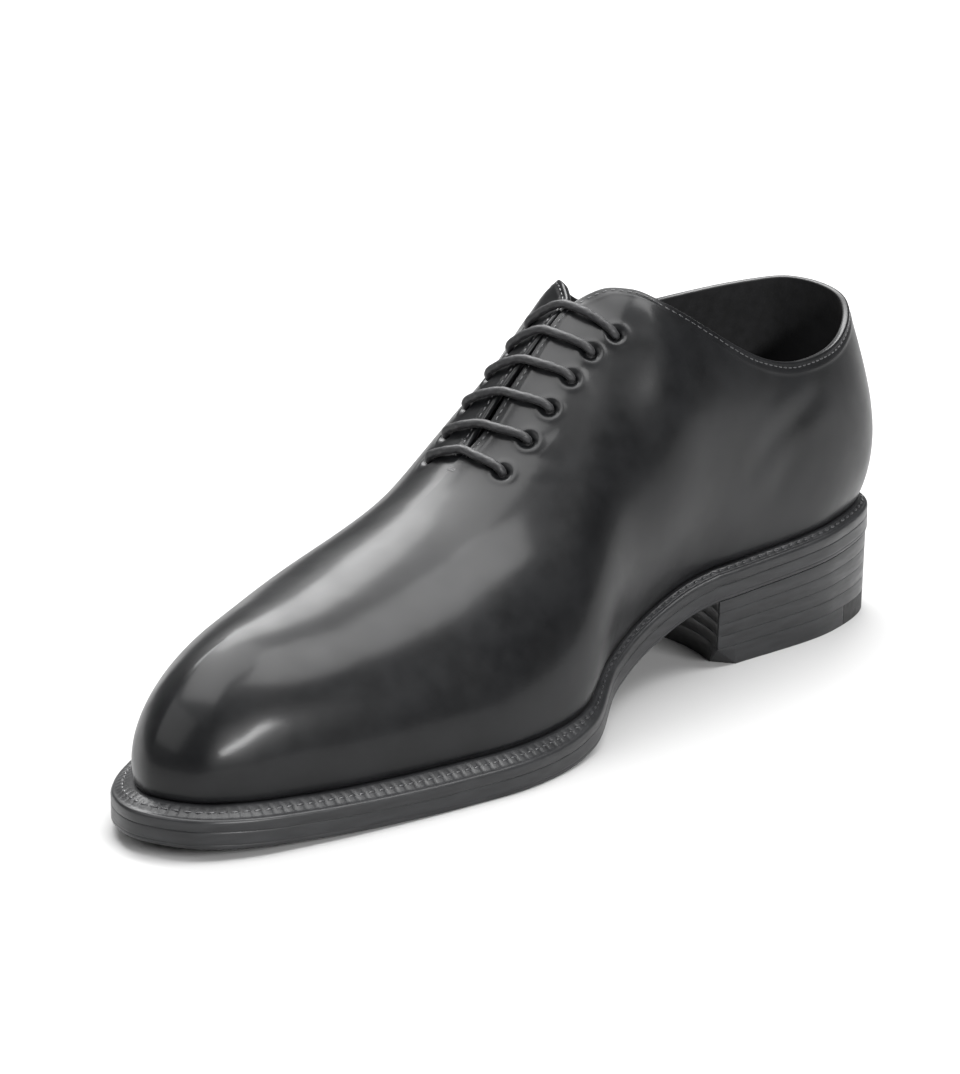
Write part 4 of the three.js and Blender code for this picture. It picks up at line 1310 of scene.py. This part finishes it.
@dataclass
class Welt:
    """The welt: a rounded edge and a top face marked by a wheel between its stitches."""

    last: Last
    edge: bpy.types.Material
    thread: bpy.types.Material
    width: float = 13.0
    lip: float = 0.8
    shoulder: float = 1.15
    pitch: float = 3.2
    mark_depth: float = 0.20
    mark_width: float = 0.42
    crown: float = 0.18
    seat: float = 1.2
    lower: float = 0.27
    edge_break: float = 0.04
    stitch_place: float = 0.55
    stitch_lift: float = 0.16
    stitch_tilt: float = 0.10

    def top_height(self, inset: np.ndarray, x: np.ndarray, margin: np.ndarray) -> np.ndarray:
        """Returns the height of the welt's top face at an inset from the outline."""
        last = self.last
        low = last.welt_top(x)
        width = np.maximum(margin - self.lip - self.shoulder, 0.2)
        share = np.clip((inset - self.shoulder) / width, 0, 1)
        return low + (last.welt_inner_top(x) - low) * share

    def places(self, per_stitch: int) -> tuple[np.ndarray, float]:
        """Returns lengths along the whole outline and the pitch that fits it evenly."""
        whole = self.last.whole
        count = round(whole / self.pitch)
        return np.linspace(0, whole, count * per_stitch + 1), whole / count

    def build(self) -> bpy.types.Object:
        """Builds the welt with its wheel marks and returns it."""
        last = self.last
        arc, pitch = self.places(6)
        w = last.w_at(arc)
        margin = last.margin(w)
        beside = np.abs((arc / pitch) % 1 - 0.5) * self.pitch
        mark = self.mark_depth * np.exp(-((beside / self.mark_width) ** 2))
        bottom, top = last.welt_bottom, last.welt_inner_top
        rings = [(self.width, bottom), (self.width, top), (margin + self.seat, top)]
        for share in np.linspace(0, 1, 10):
            inset = (margin - self.lip) * (1 - share) + self.shoulder * share
            marked = float(smoothstep(share, 0.12, 0.35) * (1 - smoothstep(share, 0.86, 1.0)))
            height = partial(self.top_height, inset, margin=margin)
            rings.append((inset, height, self.crown * math.sin(math.pi * share) - mark * marked))
        for angle in np.linspace(0, math.pi / 2, 7)[1:]:
            inset = self.shoulder * (1 - math.sin(angle))
            rings.append((inset, last.welt_top, -self.shoulder * (1 - math.cos(angle))))
        rings.append((0.0, bottom, self.edge_break - self.lower))
        rings.append((self.edge_break, bottom, -self.lower))
        rings += [(1.0, bottom), (self.width, bottom)]
        bm = grid_solid(last.to_frame(np.stack([last.ring(w, *ring) for ring in rings], 1)))
        piece = new_piece("welt_marked", bm, [self.edge])
        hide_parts("welt")
        return piece

    def stitch(self) -> bpy.types.Object:
        """Builds the welt's stitches, one between each two wheel marks, and returns them."""
        last = self.last
        arc, pitch = self.places(8)
        w = last.w_at(arc)
        margin = last.margin(w)
        place = self.stitch_place
        inset = (margin - self.lip) * (1 - place) + self.shoulder * place
        height = partial(self.top_height, inset, margin=margin)
        points = last.to_frame(last.ring(w, inset, height, self.stitch_lift))
        normals = np.tile([0.0, 0.0, 1.0], (len(points), 1))
        shape = StitchShape(pitch=pitch, length=2.5, width=0.75, height=0.62, sink=0.06)
        bm = bmesh.new()
        count = stitches_into(bm, points, normals, shape, self.stitch_tilt)
        LOG.info("welt stitches: %d", count)
        return new_piece("welt_stitches", bm, [self.thread])


@dataclass
class Outsole:
    """The leather outsole with its dressed edge and the channel cut into its underside."""

    last: Last
    edge: bpy.types.Material
    thread: bpy.types.Material
    edge_round: float = 0.9
    channel: float = 4.6
    channel_depth: float = 0.25
    channel_slope: tuple[float, float] = (0.45, 0.2)
    flat_edge: tuple[float, float] = (0.6, 1.9)
    # The groove along the edge: inset and height.
    groove: tuple[tuple[float, float], ...] = ((0.02, 1.55), (0.10, 1.42), (0.02, 1.28), (0.0, 1.1))
    stitch_shape: StitchShape = StitchShape(pitch=3.4, length=2.6, width=0.6, height=0.3, sink=0.0)

    def profile(self, w: np.ndarray) -> np.ndarray:
        """Returns the profiles of one side from the top down to the channel and past it."""
        last = self.last
        top, r = last.outsole_thickness, self.edge_round
        below, end = self.flat_edge
        outer, inner = self.channel_slope
        c, d = self.channel, self.channel_depth
        shape = [(9.0, top), (0.04, top), (0.0, top - 0.04)]
        shape += [(0.0, h) for h in np.linspace(top - below, end, 6)]
        shape += self.groove
        angles = np.linspace(0.15, math.pi / 2, 5)
        shape += [(r * (1 - math.cos(a)), r * (1 - math.sin(a))) for a in angles]
        shape += [(2.6, 0.0), (c - outer, 0.0), (c - inner, d), (c + inner, d), (c + outer, 0.0)]
        shape += [(7.0, 0.0), (11.0, 0.0)]
        return np.stack([last.ring(w, inset, last.underside, h) for inset, h in shape], 1)

    def build(self) -> bpy.types.Object:
        """Builds the outsole and returns it."""
        share = np.linspace(0, 1, 330)
        medial, lateral = (self.last.to_frame(self.profile(w)) for w in (share, 2 - share))
        bm = sections_solid(medial, lateral, 14)
        piece = new_piece("outsole_dressed", bm, [self.edge])
        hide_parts("outsole")
        return piece

    def stitch(self) -> bpy.types.Object:
        """Builds the stitches in the channel, from breast to breast, and returns them."""
        last = self.last
        points = last.ring(np.linspace(0.0, 2.0, 2400), self.channel, last.underside, 0.1)
        points = last.to_frame(points[points[:, 0] > last.seat_end + 2])
        normals = np.tile([0.0, 0.0, -1.0], (len(points), 1))
        bm = bmesh.new()
        LOG.info("channel stitches: %d", stitches_into(bm, points, normals, self.stitch_shape))
        return new_piece("channel_stitches", bm, [self.thread])


# Heel


@dataclass
class Heel:
    """The stacked heel: leather lifts, and a top piece of leather and rubber with brass pins."""

    last: Last
    edge: bpy.types.Material
    rubber: bpy.types.Material
    brass: bpy.types.Material
    length_medial: float = 85.0
    length_lateral: float = 78.5
    breast_depth: float = 9.0
    inset: float = 0.4
    taper: float = 0.8
    top_piece: float = 6.0
    lifts: int = 4
    rubber_medial: float = 29.0
    rubber_lateral: float = 39.0
    seam_width: float = 61.0
    corner_cut: float = 7.0
    corner_share: float = 0.45
    corner_out: float = 0.6
    corner_below: float = 0.2
    line: float = 0.02
    half_seam: float = 0.06
    pin_inset: float = 7.0
    pin_radius: float = 0.9
    pin_length: float = 0.3
    pin_height: float = 0.13
    pin_group: tuple[tuple[float, float], ...] = ((-2.6, 1.6), (2.6, 1.6), (0.0, -2.4))
    pins: tuple[tuple[Side, float], ...] = (
        (Side.MEDIAL, 39.0),
        (Side.MEDIAL, 56.0),
        (Side.MEDIAL, 72.0),
        (Side.LATERAL, 50.0),
        (Side.LATERAL, 67.0),
    )

    def _side(self, inset: float, side: Side, x_end: float) -> np.ndarray:
        """Returns one side of the heel's outline from the back to its breast corner."""
        w = np.linspace(0, 0.42, 260)
        points = self.last.loop(w if side is Side.MEDIAL else 2 - w, inset + 0 * w)[:, :2]
        inside = points[:, 0] < x_end
        y_end = np.interp(x_end, points[40:, 0], points[40:, 1])
        return np.vstack([points[inside], [[x_end, y_end]]])

    def outline(self, inset: float) -> np.ndarray:
        """Returns the heel's outline: round the back, then the hollow breast."""
        medial = self._side(inset, Side.MEDIAL, self.length_medial)
        lateral = self._side(inset, Side.LATERAL, self.length_lateral)
        a, b = medial[-1], lateral[-1]
        c = (a + b) / 2 - [2 * self.breast_depth, 0]
        t = np.linspace(0, 1, 40)[1:-1, None]
        breast = a * (1 - t) ** 2 + 2 * c * t * (1 - t) + b * t**2
        return np.vstack([medial, breast, lateral[::-1][:-1]])

    def slab(self, lower: np.ndarray, upper: np.ndarray, round_off: float) -> bmesh.types.BMesh:
        """Makes a slab between two outlines with slightly rounded rims.

        Args:
            lower: The lower outline's points in millimetres.
            upper: The upper outline's points, one above each lower one.
            round_off: The rims' rounding in millimetres.

        Returns:
            The slab's mesh.
        """
        bm = bmesh.new()
        flat, tops = self.last.to_frame(lower), self.last.to_frame(upper)
        disc = bmesh.ops.create_circle(bm, cap_ends=True, segments=len(flat), radius=1.0)["verts"]
        for vert, point in zip(disc, flat):
            vert.co = point
        grown = bmesh.ops.extrude_face_region(bm, geom=list(bm.faces))["geom"]
        risen = [g for g in grown if isinstance(g, bmesh.types.BMVert)]
        for vert in risen:
            vert.co = tops[int(np.argmin(np.linalg.norm(flat - np.array(vert.co), axis=1)))]
        bmesh.ops.recalc_face_normals(bm, faces=bm.faces)
        caps = [f for f in bm.faces if len(f.verts) > 4]
        rims = list({e for f in caps for e in f.edges})
        bmesh.ops.bevel(
            bm, geom=rims, offset=round_off * MM, offset_type="OFFSET", segments=2, profile=0.5,
            affect="EDGES", material=-1, clamp_overlap=True,
        )
        return bm

    def _ring(self, inset: float, share: float | None) -> np.ndarray:
        """Returns an outline at a share of the lifts' height, or on the floor."""
        flat = self.outline(inset)
        height = np.zeros(len(flat))
        if share is not None:
            seat = self.last.underside(flat[:, 0]) - self.top_piece
            height = self.top_piece + seat * share
        return np.column_stack([flat, height])

    def _inset(self, height: float) -> float:
        """Returns the heel's inset at a height above the floor."""
        return self.inset + self.taper * (1 - height / self.last.heel_height_back)

    def build_lifts(self) -> None:
        """Builds the leather lifts, parted by fine lines."""
        stack = self.last.heel_height_back - self.top_piece
        for k in range(self.lifts):
            low, high = k / self.lifts, (k + 1) / self.lifts
            lower = self._ring(self._inset(self.top_piece + stack * low), low)
            upper = self._ring(self._inset(self.top_piece + stack * high), high)
            lower[:, 2] += self.line
            upper[:, 2] -= self.line
            bm = self.slab(lower, upper, 0.06)
            piece = new_piece(f"lift_{k + 1}", bm, [self.edge])
            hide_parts(f"heel_lift_{k + 1}")
            self.flatten(piece)

    @staticmethod
    def flatten(piece: bpy.types.Object) -> None:
        """Keeps a slab's large flat faces flat in shading."""
        for polygon in piece.data.polygons:
            polygon.use_smooth = len(polygon.vertices) <= 4

    def build_top_piece(self) -> None:
        """Builds the leather and the rubber part of the top piece."""
        lower = self._ring(self._inset(0), None)
        upper = self._ring(self._inset(self.top_piece), None)
        upper[:, 2] = self.top_piece - self.line
        slope = (self.rubber_medial - self.rubber_lateral) / self.seam_width
        middle = (self.rubber_medial + self.rubber_lateral) / 2
        on_seam = Vector(self.last.to_frame(np.array([middle, 0.0, 0.0])))
        across = Vector((1.0, -slope, 0.0)).normalized()
        for name, node, material, slot, sign in (
            ("top_piece_front", "top_piece_leather", self.edge, "sole_leather", 1),
            ("top_piece_back", "top_piece_rubber", self.rubber, "rubber", -1),
        ):
            bm = self.slab(lower, upper, 0.07)
            self.cut(bm, on_seam + across * sign * self.half_seam * MM, -across * sign)
            if sign > 0:
                self.cut_corner(bm)
            piece = new_piece(name, bm, [material])
            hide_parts(node)
            self.flatten(piece)

    @staticmethod
    def cut(bm: bmesh.types.BMesh, point: Vector, away: Vector) -> None:
        """Cuts a mesh by a plane, drops what lies on its far side and closes the cut."""
        bmesh.ops.bisect_plane(
            bm,
            geom=[*bm.verts, *bm.edges, *bm.faces],
            plane_co=point,
            plane_no=away,
            clear_outer=True,
            dist=1e-7,
        )
        bmesh.ops.holes_fill(bm, edges=[e for e in bm.edges if e.is_boundary], sides=0)
        bmesh.ops.recalc_face_normals(bm, faces=bm.faces)

    def cut_corner(self, bm: bmesh.types.BMesh) -> None:
        """Cuts the medial corner of the breast, widest at the floor."""
        corner = self._side(self._inset(0), Side.MEDIAL, self.length_medial)[-1]
        cut = self.corner_cut
        moves = (
            (-cut, self.corner_out, 0.0),
            (-cut * self.corner_share, -cut, 0.0),
            (0.0, 0.0, self.top_piece - self.corner_below),
        )
        a, b, c = (Vector(p) for p in self.last.to_frame(np.array([*corner, 0.0]) + moves))
        away = (b - a).cross(c - a).normalized()
        if away.x < 0:
            away = -away
        self.cut(bm, a, away)

    def build_pins(self) -> bpy.types.Object:
        """Builds the groups of three brass pins in the leather of the top piece."""
        bm = bmesh.new()
        for side, x in self.pins:
            edge = self._side(self._inset(0), side, self.length_lateral)
            y = np.interp(x, edge[20:, 0], edge[20:, 1]) - side.value * self.pin_inset
            for dx, dy in self.pin_group:
                at = np.array([x + dx, y + side.value * dy, self.pin_height])
                bmesh.ops.create_cone(
                    bm,
                    cap_ends=True,
                    segments=20,
                    radius1=self.pin_radius * MM,
                    radius2=self.pin_radius * MM,
                    depth=self.pin_length * MM,
                    matrix=Matrix.Translation(Vector(self.last.to_frame(at))),
                )
        return new_piece("heel_pins", bm, [self.brass])

    def build(self) -> None:
        """Builds the whole heel."""
        self.build_lifts()
        self.build_top_piece()
        self.build_pins()


# Lace


@dataclass
class Lace:
    """The round waxed lace in its straight bars, with hidden runs under the facings."""

    last: Last
    cord: bpy.types.Material
    diameter: float = 2.6
    arch: float = 0.6
    clearance: float = 0.05
    # From a hole up to the slit: part of the way, share of the clear height, and of the arch.
    way: tuple[Triple, ...] = (
        (0.95, 0.55, 0.0),
        (0.83, 1.0, 1 / 6),
        (0.62, 1.0, 0.35),
        (0.34, 1.0, 0.7),
    )
    hole_heights: tuple[float, float] = (-1.35, -0.35)
    relief: float = 0.14

    def bar(self, bar: Sequence[float]) -> np.ndarray:
        """Returns the path of one bar, from the bottom of its lateral hole to the medial one."""
        clear = self.diameter / 2 + self.clearance

        def over(side: Side, part: float, height: float) -> np.ndarray:
            """Returns a point of the path above its place on the leather."""
            point, out = self.last.bar_place(side, bar, part)
            return point + out * height

        def half(side: Side) -> list[np.ndarray]:
            """Returns the points from a hole up to the slit."""
            return [over(side, 1.0, height) for height in self.hole_heights] + [
                over(side, part, clear * share + self.arch * arch) for part, share, arch in self.way
            ]

        top = (over(Side.MEDIAL, 0.0, 0.0) + over(Side.LATERAL, 0.0, 0.0)) / 2
        top = top + [0, 0, clear + 0.6 * self.arch]
        points = [*half(Side.LATERAL), top, *half(Side.MEDIAL)[::-1]]
        path = curve_through(np.array(points), 24, False)
        return along_line(path, even_points(path, 0.34))

    def run(self, side: Side) -> np.ndarray:
        """Returns the path of the hidden run under one facing."""
        depth = self.last.upper_wall + self.diameter / 2 + 3 * self.last.gap
        holes = (self.last.bar_place(side, bar, 1.0) for bar in BARS)
        path = curve_through(np.array([point - out * depth for point, out in holes]), 12, False)
        return along_line(path, even_points(path, 0.8))

    def build(self) -> bpy.types.Object:
        """Builds the lace and returns it."""
        bm = bmesh.new()
        radius = self.diameter / 2 * MM
        for bar in BARS:
            tube_into(bm, self.last.to_frame(self.bar(bar)), radius, 20, self.relief)
        for side in Side:
            tube_into(bm, self.last.to_frame(self.run(side)), radius, 10)
        bmesh.ops.recalc_face_normals(bm, faces=bm.faces)
        piece = new_piece("lace_cord", bm, [self.cord])
        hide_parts("lace")
        return piece


# Studio


@dataclass(frozen=True)
class Lamp:
    """One soft rectangular lamp that looks at the shoe; sizes in metres."""

    name: str
    place: tuple[float, float, float]
    size: tuple[float, float]
    power: float
    aim: tuple[float, float, float] = (0.0, 0.0, 0.05)
    roll: float = 0.0

    def build(self) -> None:
        """Adds the lamp to the scene."""
        data = bpy.data.lights.new(self.name, "AREA")
        data.shape = "RECTANGLE"
        data.size, data.size_y = self.size
        data.energy = self.power
        lamp = linked(self.name, data)
        lamp.location = self.place
        look = (Vector(self.aim) - Vector(self.place)).to_track_quat("-Z", "Y")
        turn = Quaternion((0.0, 0.0, 1.0), math.radians(self.roll))
        lamp.rotation_euler = (look @ turn).to_euler()


@dataclass
class Studio:
    """The pale floor, the soft lights and the camera at the photo's angle to the shoe."""

    camera_place: tuple[float, float, float] = (1.0748, 0.9144, 0.4997)
    camera_aim: tuple[float, float, float] = (0.0075, -0.001, 0.052)
    lens: float = 196.0
    world: float = 0.14
    floor_half_width: float = 6.0
    lamps: tuple[Lamp, ...] = (
        Lamp("vamp_lamp", (-0.95, -1.20, 1.75), (1.9, 1.1), 70.0),
        Lamp("overhead_lamp", (0.05, -0.20, 2.1), (1.7, 1.4), 46.0),
        Lamp("toe_lamp", (0.39, 1.83, 0.84), (1.15, 0.20), 38.0, (0.13, 0.02, 0.03), 23.0),
        Lamp("instep_lamp", (-0.75, 0.75, 1.95), (1.0, 0.9), 26.0),
        Lamp("front_lamp", (1.55, -0.60, 1.35), (1.7, 1.3), 14.0),
    )

    def build(self) -> None:
        """Builds the studio."""
        bm = bmesh.new()
        bmesh.ops.create_grid(bm, x_segments=8, y_segments=8, size=self.floor_half_width)
        mesh = bpy.data.meshes.new("floor")
        bm.to_mesh(mesh)
        bm.free()
        mesh.materials.append(FLOOR.material())
        floor = linked("floor", mesh)
        world = bpy.data.worlds.new("studio")
        world.use_nodes = True
        ground = world.node_tree.nodes["Background"]
        ground.inputs["Color"].default_value = (1, 1, 1, 1)
        ground.inputs["Strength"].default_value = self.world
        bpy.context.scene.world = world
        bpy.context.scene.view_settings.view_transform = "Standard"
        for lamp in self.lamps:
            lamp.build()
        data = bpy.data.cameras.new("camera")
        data.lens = self.lens
        data.sensor_width = 36.0
        data.sensor_fit = "HORIZONTAL"
        data.clip_end = 50.0
        camera = linked("camera", data)
        camera.location = self.camera_place
        aim = Vector(self.camera_aim) - Vector(self.camera_place)
        camera.rotation_euler = aim.to_track_quat("-Z", "Y").to_euler()
        bpy.context.scene.camera = camera


def main() -> None:
    """Builds the shoe's pieces in order, then the studio."""
    logging.basicConfig(level=logging.INFO, format="%(name)s %(message)s")
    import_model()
    last = Last()
    last.fit()
    finishes = (CALF, LINING, SOLE_EDGE, THREAD, CORD, RUBBER, BRASS)
    calf, lining, edge, thread, cord, rubber, brass = (f.material() for f in finishes)
    upper = Upper(last, calf, lining).build()
    EdgeStitching(last, upper, thread).build()
    Tongue(last, calf).build()
    Insole(last, lining).build()
    welt = Welt(last, edge, thread)
    welt.build()
    welt.stitch()
    outsole = Outsole(last, edge, thread)
    outsole.build()
    outsole.stitch()
    Heel(last, edge, rubber, brass).build()
    Lace(last, cord).build()
    Studio().build()


if __name__ == "__main__":
    main()
